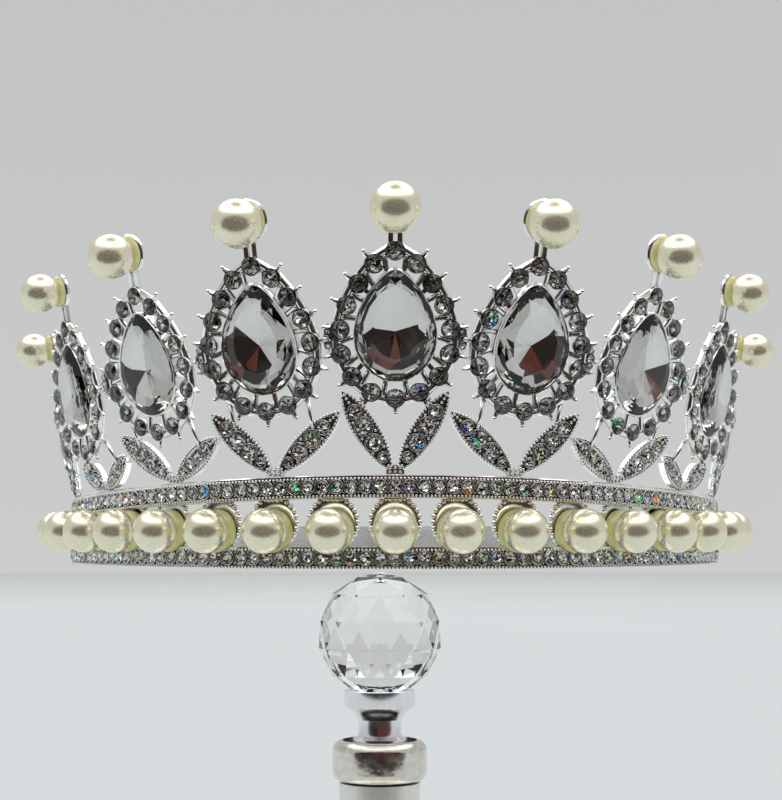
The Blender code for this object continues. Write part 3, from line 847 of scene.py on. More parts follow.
def make_satin():
    """Pale satin plate."""
    made = new_finish("satin_plate_finish")
    grain = made.noise(900.0, 3.0)
    colour = made.drift(grain, 0.3, 0.7, (0.80, 0.78, 0.74), (0.88, 0.87, 0.84))
    return made.surface(
        Base_Color=colour,
        Metallic=0.75,
        Roughness=made.between(grain, 0.3, 0.7, 0.30, 0.40),
        Normal=made.bumps(grain, FINE_MARK, 0.3),
    )


def make_polished():
    """The plain strip's polished plate."""
    made = new_finish("polished_plate_finish")
    haze = made.noise(90.0, 2.0)
    colour = made.drift(haze, 0.35, 0.65, (0.80, 0.80, 0.79), (0.90, 0.90, 0.89))
    return made.surface(Base_Color=colour, Metallic=1.0, Roughness=made.between(haze, 0.3, 0.7, 0.14, 0.20))


def make_acrylic():
    """Clear acrylic."""
    made = new_finish("clear_acrylic_finish")
    cloud = made.noise(60.0)
    colour = made.drift(cloud, 0.3, 0.7, (0.97, 0.98, 0.985), (0.99, 0.995, 0.995))
    return made.surface(Base_Color=colour, Roughness=0.02, Alpha=0.2, IOR=1.49)


# The band


def swept(profile_at, start, end, steps):
    """Points and faces of a (reach, rise) profile carried round the ring's axis."""
    rings = []
    for i in range(steps + 1):
        turn = start + (end - start) * i / steps
        rings.append([ring_point(turn, reach, rise) for reach, rise in profile_at(turn)])
    return loft(rings)


def rail_profile(foot):
    """Section of a rail: a flat back and a shallow channel for the stones between two lips."""
    channel = RAIL_FACE - STONE_CHANNEL_DEPTH
    top = foot + RAIL_HEIGHT
    soft = RAIL_SOFTNESS
    return (
        (RAIL_BACK, foot + soft),
        (RAIL_BACK + soft, foot),
        (RAIL_FACE - soft, foot),
        (RAIL_FACE, foot + soft),
        (RAIL_FACE, foot + RAIL_LIP),
        (channel, foot + RAIL_LIP),
        (channel, top - RAIL_LIP),
        (RAIL_FACE, top - RAIL_LIP),
        (RAIL_FACE, top - soft),
        (RAIL_FACE - soft, top),
        (RAIL_BACK + soft, top),
        (RAIL_BACK, top - soft),
    )


def strip_profile(thickness, foot, top):
    """Section of a plain upright strip on the ring's middle radius."""
    inner = RING_RADIUS - thickness / 2
    outer = RING_RADIUS + thickness / 2
    return ((inner, foot), (outer, foot), (outer, top), (inner, top))


def rail_turns(pitch):
    """Evenly spaced turns along a rail."""
    count = round(2 * RAIL_END * RAIL_FACE / pitch)
    step = 2 * RAIL_END / count
    return [-RAIL_END + step * (i + 0.5) for i in range(count)]


def rail_foot(upper, turn):
    """Rise of a rail's foot at a turn."""
    return UPPER_RAIL_RISE - upper_rail_dip(turn) if upper else LOWER_RAIL_RISE


def cup_frame(index):
    """Frame of the round cup behind a band pearl."""
    turn = index * BAND_PEARL_TURN
    rise = PEARL_CUP_RISE - upper_rail_dip(turn) * PEARL_CUP_DIP_SHARE
    return wall_frame(turn, PEARL_CUP_FRONT, rise, 0.0)


def make_band(silver, polished):
    """The rails, cups and back strip, with their beaded edges."""
    stock = Stock()
    for upper in (True, False):
        rail = swept(lambda turn: rail_profile(rail_foot(upper, turn)), -RAIL_END, RAIL_END, RAIL_STEPS)
        stock.stamp(rail, smooth=True)
    lap = END_POST_TURN / 2
    plain = strip_profile(BACK_STRIP_THICKNESS, BACK_STRIP_FOOT, BACK_STRIP_FOOT + BACK_STRIP_HEIGHT)
    strip = swept(lambda turn: plain, RAIL_END - lap, math.tau - RAIL_END + lap, RAIL_STEPS)
    stock.stamp(strip, None, 1, smooth=True)
    post_top = UPPER_RAIL_RISE - UPPER_RAIL_DIP + RAIL_HEIGHT / 2
    upright = strip_profile(END_POST_THICKNESS, LOWER_RAIL_RISE + RAIL_HEIGHT / 2, post_top)
    for side in (-1, 1):
        middle = side * (RAIL_END - END_POST_TURN)
        post = swept(lambda turn: upright, middle - END_POST_HALF_WIDTH, middle + END_POST_HALF_WIDTH, 1)
        stock.stamp(post)
    stamp_cups(stock)
    stock.piece("band_and_cups", [silver, polished], ("base_band",), sharp=CASTING_SHARP)


def stamp_cups(stock):
    """The round cups behind the band pearls, each with a beaded rim and a beaded lug."""
    back = -PEARL_CUP_THICKNESS
    cup = lathe(
        (
            (PEARL_CUP_RADIUS - 0.5 * MM, back),
            (PEARL_CUP_RADIUS - 0.2 * MM, back + 0.2 * MM),
            (PEARL_CUP_RADIUS - 0.2 * MM, -0.1 * MM),
            (PEARL_CUP_RADIUS - 1.0 * MM, 0.0),
            (PEARL_CUP_RADIUS - 1.6 * MM, -0.2 * MM),
        ),
        PEARL_CUP_SIDES,
    )
    rim_bead = ball(CUP_BEAD_RADIUS, KNOB_FINENESS)
    for index in range(-BAND_PEARLS_EACH_SIDE, BAND_PEARLS_EACH_SIDE + 1):
        place = cup_frame(index)
        stock.stamp(cup, place, smooth=True)
        for i in range(CUP_BEADS):
            turn = math.tau * i / CUP_BEADS
            reach = PEARL_CUP_RADIUS - CUP_BEAD_RADIUS * 0.35
            seat = Vector((reach * math.cos(turn), reach * math.sin(turn), -CUP_BEAD_BACK))
            stock.dot(rim_bead, place, seat)
        for i in (-1, 0, 1):
            for j in (0, 1):
                seat = Vector((i * LUG_WIDTH / 3, PEARL_CUP_RADIUS - j * LUG_ROW_STEP + LUG_RISE, 0.0))
                stock.dot(rim_bead, place, seat)


def make_rail_beading(silver):
    """Fine beads along both edges of each stone channel, and grains between the stones."""
    stock = Stock()
    bead = ball(BEAD_RADIUS, BEAD_FINENESS)
    grain = ball(GRAIN_RADIUS, BEAD_FINENESS)
    grain_reach = RAIL_FACE - STONE_CHANNEL_DEPTH + GRAIN_RADIUS * 0.6
    for upper in (True, False):
        for turn in rail_turns(BEAD_PITCH):
            foot = rail_foot(upper, turn)
            for rise in (RAIL_LIP * 0.55, RAIL_HEIGHT - RAIL_LIP * 0.9):
                place = Matrix.Translation(ring_point(turn, RAIL_FACE, foot + rise))
                stock.stamp(bead, place, smooth=True)
        step = RAIL_STONE_PITCH / RAIL_FACE / 2
        for turn in rail_turns(RAIL_STONE_PITCH):
            foot = rail_foot(upper, turn + step)
            for rise in (RAIL_LIP + GRAIN_RADIUS, RAIL_HEIGHT - RAIL_LIP - GRAIN_RADIUS):
                place = Matrix.Translation(ring_point(turn + step, grain_reach, foot + rise))
                stock.stamp(grain, place, smooth=True)
    stock.piece("rail_beading", [silver])


def make_rail_stones(crystal, foil, silver):
    """The round stones set along both rails, each in a thin rim."""
    stock = Stock()
    rim = stone_rim(RAIL_STONE_RADIUS)
    for upper in (True, False):
        for turn in rail_turns(RAIL_STONE_PITCH):
            rise = rail_foot(upper, turn) + RAIL_HEIGHT / 2
            place = wall_frame(turn, RAIL_FACE + STONE_PROUD, rise, 0.0)
            set_stone(stock, place, RAIL_STONE_RADIUS, RAIL_SHIMMER, RAIL_STONE_BACK)
            stock.stamp(rim, place, 2, smooth=True)
    stock.piece("rail_stones", [crystal, foil, silver])


def stone_rim(radius):
    """A thin rim of metal about a round stone's girdle."""
    return lathe(
        (
            (radius, -RIM_DEPTH),
            (radius + RIM_WALL, -RIM_DEPTH),
            (radius + RIM_WALL, RIM_SHOULDER),
            (radius + RIM_WALL / 2, RIM_CREST),
            (radius * 0.97, RIM_SHOULDER),
        ),
        RIM_SIDES,
        closed=True,
    )


# The leaves


def leaf_half(share):
    """Half the width of a leaf at a share of its length."""
    return LEAF_WIDTH / 2 * (4 * share * (1 - share)) ** LEAF_FULLNESS


def leaf_frame(foot, tip, normal):
    """Frame of a leaf: local X across it, Y along it, Z out of its face."""
    along = tip - foot
    face = (normal - along * normal.dot(along) / along.length_squared).normalized()
    up = along.normalized()
    made = Matrix((up.cross(face), up, face)).transposed().to_4x4()
    made.translation = foot
    return made


def leaf_plate(length):
    """Points and faces of a leaf: a pointed plate with a raised border."""
    outline = []
    for side, stations in ((1, range(LEAF_STATIONS)), (-1, range(LEAF_STATIONS, 0, -1))):
        for station in stations:
            share = station / LEAF_STATIONS
            outline.append(Vector((side * leaf_half(share), length * share)))
    middle = Vector((0.0, length / 2))
    half = LEAF_THICKNESS / 2
    levels = ((0.0, -half), (0.0, half - LEAF_EDGE), (0.12, half), (0.30, half), (0.36, half - LEAF_HOLLOW))
    rings = []
    for shrink, z in levels:
        ring = []
        for point in outline:
            inset = point - (point - middle) * shrink * Vector((point.x, 0.0)).length / (LEAF_WIDTH / 2)
            ring.append((inset.x * (1 - shrink * 0.4), inset.y, z))
        rings.append(ring)
    return loft(rings)


def stamp_leaf(metal, gems, place, length):
    """One leaf: its plate and beaded edges, its stones in their rims, and its grains."""
    metal.stamp(leaf_plate(length), place)
    front = LEAF_THICKNESS / 2
    bead = ball(BEAD_RADIUS, BEAD_FINENESS)
    grain = ball(GRAIN_RADIUS, KNOB_FINENESS)
    steps = round(length / BEAD_PITCH)
    for edge in (-1, 1):
        for i in range(1, steps):
            share = i / steps
            seat = Vector((edge * (leaf_half(share) - BEAD_RADIUS * 0.6), length * share, front))
            metal.dot(bead, place, seat)
    for share in LEAF_STONES:
        radius = min(leaf_half(share) - LEAF_STONE_BORDER, length * LEAF_STONE_LIMIT)
        spot = place @ Matrix.Translation((0.0, length * share, front + STONE_PROUD))
        set_stone(gems, spot, radius, LEAF_SHIMMER, LEAF_STONE_BACK)
        gems.stamp(stone_rim(radius), spot, 2, smooth=True)
    for first, second in zip(LEAF_STONES, LEAF_STONES[1:]):
        share = (first + second) / 2
        for edge in (-1, 1):
            seat = Vector((edge * leaf_half(share) * 0.6, length * share, front - LEAF_GRAIN_SINK))
            metal.dot(grain, place, seat)
    for share in LEAF_END_GRAINS:
        metal.dot(grain, place, (0.0, length * share, front))


def make_leaf_pair(number, silver, crystal, foil):
    """One V pair: its foot, its two leaves, and the bars that hold its drop."""
    row = table(LEAF_COLUMNS, LEAF_ROWS)[abs(number)]
    side = -1 if number < 0 else 1
    metal = Stock()
    gems = Stock()
    turn = number * LEAF_PAIR_TURN
    base = wall_frame(turn, RING_RADIUS, upper_rail_top(turn), WALL_LEAN)
    half_width = LEAF_FOOT_WIDTH / 2
    half_depth = LEAF_FOOT_THICKNESS / 2
    high = (half_width, SEAT_GAP + LEAF_FOOT_HEIGHT, half_depth)
    metal.stamp(block((-half_width, SEAT_GAP, -half_depth), high), base)
    grain = ball(GRAIN_RADIUS, KNOB_FINENESS)
    for i in (-1, 0, 1):
        for j in (0, 1):
            rise = SEAT_GAP + FOOT_GRAIN_RISE + j * FOOT_GRAIN_ROW_STEP
            seat = Vector((i * FOOT_GRAIN_STEP, rise, half_depth))
            metal.dot(grain, base, seat)
    for leaf_name, way in (("inner", -side), ("outer", side)):
        tip_turn = turn + way * LEAF_SPREAD * row[leaf_name + "_turn"]
        tip = wall_point(tip_turn, upper_rail_top(turn) + LEAF_CLIMB * row[leaf_name + "_climb"])
        foot = base @ Vector((way * LEAF_ROOT_OUT, SEAT_GAP + LEAF_ROOT_RISE, 0.0))
        place = leaf_frame(foot, tip, outward((turn + tip_turn) / 2))
        stamp_leaf(metal, gems, place, (tip - foot).length)
        seat_index = row[leaf_name + "_seat"] if way == 1 else HALO_COUNT - row[leaf_name + "_seat"]
        seat = drop_frame(number) @ halo_seats()[seat_index][0]
        start = foot.lerp(tip, row["bar_share"])
        reach = seat - start
        size = drop_row(number)["size"]
        end = start + reach * (1 - (HALO_SEAT_RADIUS * size + SEAT_GAP) / reach.length)
        metal.stamp(rod(start, end, LEAF_BAR_WIDTH / 2, LEAF_BAR_WIDTH / 2, ROUND_BAR_SIDES), smooth=True)
    label = number + OUTERMOST_LEAF + 1
    metal.piece(f"leaves_{label}", [silver], (f"leaf_pair_{label}",))
    gems.piece(f"leaf_stones_{label}", [crystal, foil, silver])


# The drops


def pear_rings(levels, count):
    """Rings of a pear outline, from (half width, half height, z) rows."""
    rings = []
    for half_width, half_height, z in levels:
        rings.append([(p.x, p.y, z) for p in reversed(pear_outline(count, half_width, half_height))])
    return rings


def bezel():
    """Points and faces of the pear-shaped cup about the main stone."""
    outer_width = STONE_HALF_WIDTH + BEZEL_WALL
    outer_height = STONE_HALF_HEIGHT + BEZEL_WALL
    back = -BEZEL_DEPTH / 2
    top = BEZEL_DEPTH / 2
    soft = BEZEL_SOFTNESS
    levels = []
    for inset, z in (
        (soft, back),
        (0.0, back + soft),
        (0.0, top - soft),
        (soft, top),
        (BEZEL_WALL, top - 0.05 * MM),
        (BEZEL_WALL, back + BEZEL_BACK),
    ):
        levels.append((outer_width - inset, outer_height - inset, z))
    return loft(pear_rings(levels, BEZEL_STEPS))


def collet():
    """Points and faces of the cup that holds a small round stone."""
    half = HALO_SEAT_DEPTH / 2
    return lathe(
        (
            (HALO_SEAT_RADIUS * 0.72, -half),
            (HALO_SEAT_RADIUS * 0.95, half - 0.5 * MM),
            (HALO_SEAT_RADIUS, half),
            (HALO_SEAT_RADIUS * 0.98, half + 0.12 * MM),
            (HALO_STONE_RADIUS * 1.01, half + 0.12 * MM),
            (HALO_STONE_RADIUS, half - 0.2 * MM),
            (HALO_STONE_RADIUS * 0.4, -half + 0.3 * MM),
        ),
        RIM_SIDES,
    )


def link(way, number):
    """The small pointed link beside a drop: the bar that carries it, its plate, and its middle."""
    row = drop_row(number)
    rise_step = drop_rise(abs(number) + 1) - drop_rise(number)
    y = (rise_step / 2 - LINK_DROP) / row["size"]
    halfway = (RING_RADIUS + DROP_OVERHANG * row["overhang"]) * math.sin(DROP_TURN / 2)
    x = way * (halfway - SEAT_GAP) / row["size"]
    half = LINK_THICKNESS / 2
    rings = []
    for shrink, z in ((1.0, -half), (1.0, half - 0.1 * MM), (0.75, half + 0.15 * MM)):
        ring = []
        for i in range(LINK_SIDES):
            turn = math.tau * i / LINK_SIDES
            pointed = math.copysign(abs(math.cos(turn)) ** LINK_POINT, math.cos(turn))
            across = LINK_WIDTH / 2 * shrink * pointed
            along = LINK_HEIGHT / 2 * shrink * math.sin(turn)
            ring.append((x + across, y + along, z))
        rings.append(ring)
    middle = Vector((x, y, 0.0))
    carrier = bar(Vector((way * HALO_HALF_WIDTH, y, 0.0)), middle, PEG_WIDTH * 0.75, UP)
    return carrier, loft(rings), middle


def stamp_halo(metal, gems, place):
    """The small stones in their cups, joined by a rail, with knobs outside them and pegs and claws inside."""
    cup = collet()
    knob = ball(KNOB_RADIUS, KNOB_FINENESS)
    claw = ball(CLAW_RADIUS, KNOB_FINENESS)
    girdle = Matrix.Translation((0.0, 0.0, HALO_SEAT_DEPTH / 2 + HALO_STONE_PROUD))
    seats = halo_seats()
    for i, (seat, out) in enumerate(seats):
        spot = place @ Matrix.Translation(seat)
        metal.stamp(cup, spot, smooth=True)
        set_stone(gems, spot @ girdle, HALO_STONE_RADIUS, HALO_SHIMMER, HALO_STONE_BACK)
        after, after_out = seats[(i + 1) % HALO_COUNT]
        shift = (out + after_out) * HALO_RAIL_RADIUS * 0.6
        rail = rod(seat + shift, after + shift, HALO_RAIL_RADIUS, HALO_RAIL_RADIUS, ROUND_BAR_SIDES)
        metal.stamp(rail, place, smooth=True)
        if i:
            tip = seat + out * KNOB_REACH + UP * KNOB_RISE
            root = seat + out * HALO_SEAT_RADIUS * 0.8 + UP * KNOB_ROOT_RISE
            metal.stamp(rod(root, tip, KNOB_ROOT_RADIUS, KNOB_STEM_RADIUS), place, smooth=True)
            metal.dot(knob, place, tip)
    bezel_size = (STONE_HALF_WIDTH + BEZEL_WALL, STONE_HALF_HEIGHT + BEZEL_WALL)
    ring = pear_outline(HALO_COUNT, *bezel_size)
    for i in PEG_SEATS:
        metal.stamp(bar(ring[i].to_3d(), seats[i][0], PEG_WIDTH, UP), place)
    for i, root in enumerate(pear_outline(HALO_COUNT, *bezel_size, 0.5)):
        between = (seats[i][0] + seats[(i + 1) % HALO_COUNT][0]) / 2
        start = root.to_3d() + UP * CLAW_RISE / 2
        end = between + UP * CLAW_RISE
        metal.stamp(rod(start, end, CLAW_RADIUS, CLAW_RADIUS), place, smooth=True)
        metal.dot(claw, place, end)


def stamp_top_cup(metal, place, cup_radius):
    """The two posts above a drop and the cup that they carry."""
    for way in (-1, 1):
        x = way * STEM_POST_SPREAD / 2
        low = (x - STEM_POST_WIDTH / 2, HALO_HALF_HEIGHT, -STEM_THICKNESS / 2)
        high = (x + STEM_POST_WIDTH / 2, TOP_CUP_CLIMB - cup_radius * 0.6, STEM_THICKNESS / 2)
        metal.stamp(block(low, high), place)
    half = TOP_CUP_THICKNESS / 2
    top_cup = lathe(
        (
            (cup_radius - 0.3 * MM, -half),
            (cup_radius, -half + 0.3 * MM),
            (cup_radius, half - 0.25 * MM),
            (cup_radius - 0.25 * MM, half),
            (cup_radius - 0.6 * MM, half),
            (cup_radius - 0.75 * MM, half - 0.3 * MM),
        ),
        TOP_CUP_SIDES,
    )
    metal.dot(top_cup, place, (0.0, TOP_CUP_CLIMB, 0.0))


def stamp_links(metal, gems, place, number):
    """The pointed links beside a drop: both at the middle drop, and the outer one at the others."""
    for way in [way for way in (-1, 1) if number * way >= 0]:
        carrier, plate, middle = link(way, number)
        metal.stamp(carrier, place)
        metal.stamp(plate, place)
        for rise, radius in LINK_STONES:
            spot = Matrix.Translation(middle + Vector((0.0, rise, LINK_THICKNESS / 2 + LINK_STONE_PROUD)))
            set_stone(gems, place @ spot, radius, LEAF_SHIMMER, LEAF_STONE_BACK)


def make_drop(number, finishes):
    """One drop: its casting, small stones, pear stone and top pearl."""
    silver, crystal, foil, glint, pearl, glue = finishes
    row = drop_row(number)
    place = drop_frame(number)
    label = number + OUTERMOST_DROP + 1
    metal = Stock()
    gems = Stock()
    metal.stamp(bezel(), place, smooth=True)
    stamp_halo(metal, gems, place)
    stamp_top_cup(metal, place, TOP_PEARL_RADIUS * row["pearl"] * TOP_CUP_SHARE / row["size"])
    if abs(number) < OUTERMOST_DROP:
        stamp_links(metal, gems, place, number)
    metal.piece(f"drop_casting_{label}", [silver], (f"setting_{label}",), sharp=CASTING_SHARP)
    gems.piece(f"halo_stones_{label}", [crystal, glint])
    make_pear_stone(label, place, crystal, foil)
    radius = TOP_PEARL_RADIUS * row["pearl"]
    forward = TOP_CUP_THICKNESS * row["size"] / 2 + SEAT_GAP + radius
    rigid = place @ Matrix.Translation((0.0, TOP_CUP_CLIMB, 0.0)) @ Matrix.Scale(1 / row["size"], 4)
    spot = rigid @ Matrix.Translation((0.0, 0.0, forward))
    glue_size = (TOP_GLUE_DEPTH, TOP_GLUE_WIDTH)
    make_pearl_piece(f"top_pearl_round_{label}", spot, radius, [pearl, glue], glue_size, f"top_pearl_{label}")


def make_pear_stone(label, place, crystal, foil):
    """The pear stone of a drop."""
    stock = Stock()
    stone = pear_stone()
    girdle = Matrix.Translation((0.0, 0.0, BEZEL_DEPTH / 2 - PEAR_STONE_SINK))
    stock.stamp(stone, place @ girdle, foiled(stone, -PEAR_FOIL))
    stock.piece(f"pear_stone_cut_{label}", [crystal, foil], (f"pear_stone_{label}",))


def make_pearl_piece(name, place, radius, finishes, glue_size, node):
    """A pearl and the glue that shows behind it, of a depth and a share of the pearl's width."""
    depth, width = glue_size
    stock = Stock()
    stock.stamp(ball(radius, PEARL_FINENESS), place, smooth=True)
    back = -radius - SEAT_GAP
    profile = [(radius * GLUE_FOOT, back)]
    profile += [(radius * width * wide, back + depth * deep) for wide, deep in GLUE_OUTLINE]
    stock.stamp(lathe(profile, PEARL_CUP_SIDES), place, 1, smooth=True)
    stock.piece(name, finishes, (node,))


def make_band_pearls(pearl, glue):
    """The pearl row."""
    for index in range(2 * BAND_PEARLS_EACH_SIDE + 1):
        turn = (index - BAND_PEARLS_EACH_SIDE) * BAND_PEARL_TURN
        place = wall_frame(turn, PEARL_CUP_FRONT + SEAT_GAP + BAND_PEARL_RADIUS, 0.0, 0.0)
        label = f"{index + 1:02d}"
        name = f"band_pearl_round_{label}"
        glue_size = (BAND_GLUE_DEPTH, BAND_GLUE_WIDTH)
        make_pearl_piece(name, place, BAND_PEARL_RADIUS, [pearl, glue], glue_size, f"band_pearl_{label}")


# The stand


def at_row(profile):
    """A turned profile with its heights measured from the pearl row."""
    return [(radius, PEARL_ROW_HEIGHT + rise) for radius, rise in profile]


def turned_piece(name, profile, material, node, closed=False):
    """One turned piece of the stand."""
    stock = Stock()
    stock.stamp(lathe(profile, TURNED_SIDES, closed), Matrix.Translation((STAND_SIDE, 0.0, 0.0)), smooth=True)
    stock.piece(name, [material], (node,), sharp=TURNED_SHARP)


def round_under(radius, foot, size, steps):
    """Profile points of a turned edge's quarter round, from its underside up to its side."""
    turns = [math.pi / 2 * i / steps for i in range(1, steps + 1)]
    return [(radius - size * (1 - math.sin(turn)), foot + size * (1 - math.cos(turn))) for turn in turns]


def round_over(radius, top, size, steps):
    """Profile points of a turned edge's quarter round, from its side up to its top."""
    turns = [math.pi / 2 * i / steps for i in range(steps + 1)]
    return [(radius - size * (1 - math.cos(turn)), top - size * (1 - math.sin(turn))) for turn in turns]


def make_ball(crystal):
    """The crystal ball under the ring."""
    points = []
    for count, shift, climb in BALL_TIERS:
        level = math.radians(climb)
        for i in range(count):
            turn = math.tau * (i + shift) / count
            corner = (math.cos(turn) * math.cos(level), math.sin(turn) * math.cos(level), math.sin(level))
            points.append(Vector(corner) * BALL_RADIUS)
    stock = Stock()
    stock.stamp(hull(points), Matrix.Translation((STAND_SIDE, 0.0, PEARL_ROW_HEIGHT + BALL_RISE)))
    stock.piece("faceted_ball", [crystal], ("stand_ball",))


def make_socket(chrome):
    """The ball's cup and the stepped cone under it."""
    inner = SOCKET_RADIUS - SOCKET_WALL
    rim = BALL_RISE - math.sqrt(BALL_RADIUS**2 - inner**2) - SEAT_GAP
    floor = BALL_RISE - BALL_RADIUS - SEAT_GAP
    foot = rim - SOCKET_HEIGHT
    run = foot - COLLAR_FOOT_RISE
    profile = [
        (CONE_RADIUS, COLLAR_FOOT_RISE),
        (CONE_RADIUS, foot - run * 0.80),
        (CONE_RADIUS * 0.96, foot - run * 0.66),
        (CONE_STEP_RADIUS, foot - run * 0.50),
        (CONE_STEP_RADIUS * 0.97, foot - run * 0.47),
        (CONE_STEP_RADIUS * 0.95, foot - run * 0.38),
        (NECK_RADIUS * 1.04, foot - run * 0.34),
        (NECK_RADIUS, foot - run * 0.30),
        (NECK_RADIUS, foot - run * 0.10),
        (SOCKET_FOOT_RADIUS * 0.9, foot),
        (SOCKET_RADIUS * 0.97, rim - SOCKET_SIDE_HEIGHT - 0.5 * MM),
        (SOCKET_RADIUS, rim - SOCKET_SIDE_HEIGHT),
        (SOCKET_RADIUS, rim - 0.1 * MM),
        (SOCKET_RADIUS - 0.15 * MM, rim),
        (inner, rim),
        (NECK_RADIUS, floor),
    ]
    turned_piece("socket_and_cone", at_row(profile), chrome, "stand_socket")


def make_collar(nickel):
    """The rounded collar about the cone."""
    inner = CONE_RADIUS + SEAT_GAP
    top = COLLAR_FOOT_RISE + COLLAR_HEIGHT
    profile = [(inner, COLLAR_FOOT_RISE), (COLLAR_RADIUS - COLLAR_ROUND, COLLAR_FOOT_RISE)]
    profile += round_under(COLLAR_RADIUS, COLLAR_FOOT_RISE, COLLAR_ROUND, COLLAR_STEPS)
    profile += round_over(COLLAR_RADIUS, top, COLLAR_ROUND, COLLAR_STEPS)
    profile.append((inner, top))
    turned_piece("rounded_collar", at_row(profile), nickel, "stand_collar", closed=True)


def make_post_and_foot(satin):
    """The plain post and the round foot."""
    post_top = PEARL_ROW_HEIGHT + COLLAR_FOOT_RISE - SEAT_GAP
    profile = [(POST_RADIUS, FOOT_HEIGHT + SEAT_GAP), (POST_RADIUS, post_top)]
    turned_piece("plain_post", profile, satin, "stand_post")
    profile = [(FOOT_RADIUS, 0.0)]
    profile += round_over(FOOT_RADIUS, FOOT_HEIGHT, FOOT_ROUND, FOOT_STEPS)
    turned_piece("round_foot", profile, satin, "stand_foot")


# The room


def make_floor():
    """A plain pale floor that goes over into the wall's grey far away."""
    made = new_finish("floor_finish")
    cloud = made.noise(0.8, 2.0)
    near = made.drift(cloud, 0.3, 0.7, (0.74, 0.79, 0.81), (0.78, 0.83, 0.85))
    reach = made.node("ShaderNodeVectorMath", {"operation": "LENGTH"}, {0: made.places()}, out="Value")
    colour = made.drift(reach, 2.4, 4.4, near, WALL_GREY)
    material = made.surface(Base_Color=colour, Roughness=0.6, Specular_IOR_Level=0.1)
    points, faces = lathe(((FLOOR_RADIUS, -0.02), (FLOOR_RADIUS, 0.0)), FLOOR_SIDES)
    floor = new_object("floor", points, faces, [material])


def stage_sheet(name, rings, material, capped=True):
    """A staged sheet that only reflections and the stones show."""
    points, faces = loft(rings, capped=capped)
    sheet = new_object(name, points, faces, [material])
    sheet.visible_camera = False
    sheet.visible_diffuse = False
    sheet.visible_shadow = False


def make_painted_shade_sheet():
    """A dark sheet of painted shade laid in front, which only the stones and pearls show in their
    reflections.
    """
    made = new_finish("painted_shade_sheet_finish")
    cloud = made.noise(3.0)
    # Painted shade: a near-black colour that puts the dark in front into the stones' and pearls' reflections.
    colour = made.drift(cloud, 0.3, 0.7, (0.012, 0.009, 0.008), (0.035, 0.020, 0.014))
    material = made.surface(Base_Color=colour, Roughness=0.9, Specular_IOR_Level=0.1)
    turns = [SHADE_SHEET_TURN * (i / SHADE_SHEET_STEPS - 1) for i in range(2 * SHADE_SHEET_STEPS + 1)]
    reaches = [SHADE_SHEET_REACH / math.cos(turn) ** SHADE_SHEET_BEND for turn in turns]
    reaches += [FLOOR_RADIUS * 0.9] * len(turns)
    turns += turns[::-1]
    rings = []
    for rise in (0.001, 0.002):
        rings.append([outward(turn) * reach + UP * rise for turn, reach in zip(turns, reaches)])
    stage_sheet("painted_shade_sheet", rings, material)


def make_lamp():
    """A broad soft lamp overhead with a small gap in its middle."""
    made = new_finish("lamp_finish")
    cloud = made.noise(0.7)
    colour = made.drift(cloud, 0.3, 0.7, (1.0, 0.99, 0.96), (1.0, 1.0, 0.98))
    material = made.surface(
        Base_Color=(0.0, 0.0, 0.0),
        Emission_Color=colour,
        Emission_Strength=LAMP_STRENGTH,
    )
    rings = []
    for radius in (LAMP_HOLE, LAMP_RADIUS):
        middle = Vector((0.0, LAMP_FORWARD * (1 - radius / LAMP_RADIUS), PEARL_ROW_HEIGHT + LAMP_RISE))
        rings.append([middle + outward(math.tau * i / LAMP_SIDES) * radius for i in range(LAMP_SIDES)])
    stage_sheet("lamp", rings, material, capped=False)


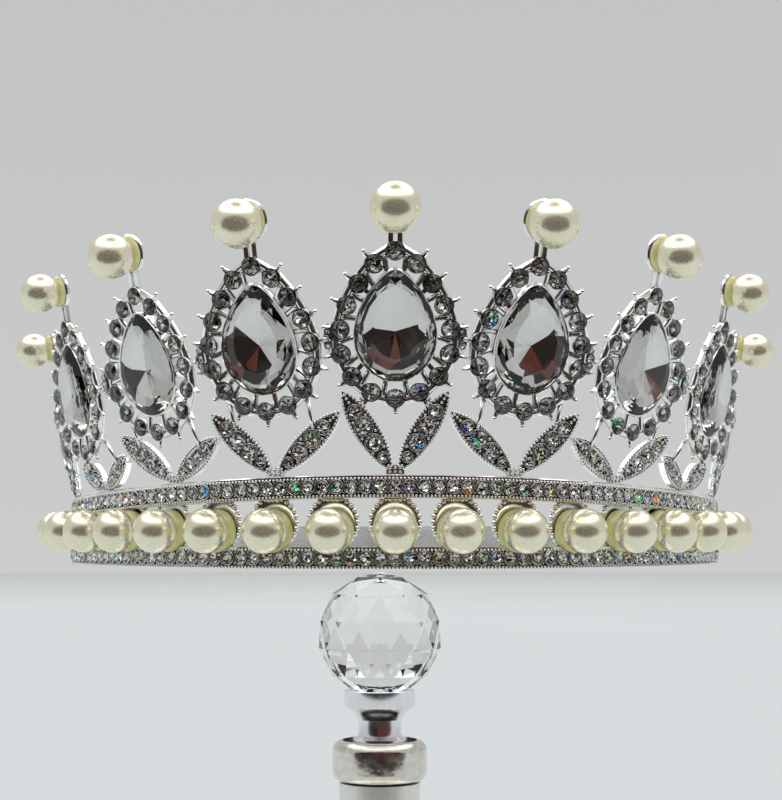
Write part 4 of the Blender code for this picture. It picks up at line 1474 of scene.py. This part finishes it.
def make_room():
    """Soft light from above and round about, a darker side behind the camera, and a grey wall to look at."""
    room = bpy.data.worlds.new("soft_room")
    bpy.context.scene.world = room
    made = Finish(room)
    direction = made.node("ShaderNodeTexCoord", out="Generated")
    x, y, z = made.parts(direction)
    oval = x * x * DARK_OVAL_WIDTH + z * z * DARK_OVAL_HEIGHT
    dark = made.between(oval, 1.05, 0.9) * made.between(y, -0.20, -0.30)
    wall = made.drift(z, -0.05, 0.35, WALL_GREY, UPPER_WALL_GREY)
    ceiling = made.drift(z, 0.955, 0.975, CEILING_WHITE, CEILING_GREY)
    side = made.drift(z, 0.60, 0.72, wall, ceiling)
    patches = made.node("ShaderNodeTexNoise", {}, {"Vector": direction, "Scale": 3.2, "Detail": 0.0})
    shade = made.drift(patches, 0.50, 0.53, ROOM_BLACK, ROOM_MAROON)
    light = made.mix(dark, side, shade)
    seen = made.node("ShaderNodeLightPath", out="Is Camera Ray")
    backdrop = made.node("ShaderNodeBackground", {}, {"Color": wall})
    lighting = made.node("ShaderNodeBackground", {}, {"Color": light})
    both = made.node("ShaderNodeMixShader", {}, {0: seen, 1: lighting, 2: backdrop})
    made.node("ShaderNodeOutputWorld", {}, {"Surface": both})


def make_camera():
    """The camera at the photograph's place: level with the pearl row and tipped up a little."""
    camera = bpy.data.cameras.new("camera")
    camera.lens = CAMERA_LENS
    camera.clip_start = 0.01
    eye = bpy.data.objects.new("camera", camera)
    eye.location = (CAMERA_SIDE, -CAMERA_DISTANCE, PEARL_ROW_HEIGHT)
    eye.rotation_euler = (math.pi / 2 + CAMERA_PITCH, 0.0, 0.0)
    bpy.context.scene.collection.objects.link(eye)
    bpy.context.scene.camera = eye
    bpy.context.scene.view_settings.view_transform = "Standard"


def main():
    """Dress the whole part."""
    silver = make_silver()
    crystal = make_crystal()
    foil = make_foil()
    glint = make_glint_foil()
    pearl = make_pearl()
    glue = make_glue()
    make_band(silver, make_polished())
    make_rail_beading(silver)
    make_rail_stones(crystal, glint, silver)
    for number in range(-OUTERMOST_LEAF, OUTERMOST_LEAF + 1):
        make_leaf_pair(number, silver, crystal, glint)
    for number in range(-OUTERMOST_DROP, OUTERMOST_DROP + 1):
        make_drop(number, (silver, crystal, foil, glint, pearl, glue))
    make_band_pearls(pearl, glue)
    make_ball(crystal)
    make_socket(make_chrome())
    make_collar(make_nickel())
    make_post_and_foot(make_satin())
    acrylic = make_acrylic()
    for slot in frame["nodes"]["stand_disc"].material_slots:
        slot.material = acrylic
    make_floor()
    make_painted_shade_sheet()
    make_lamp()
    make_room()
    make_camera()


main()
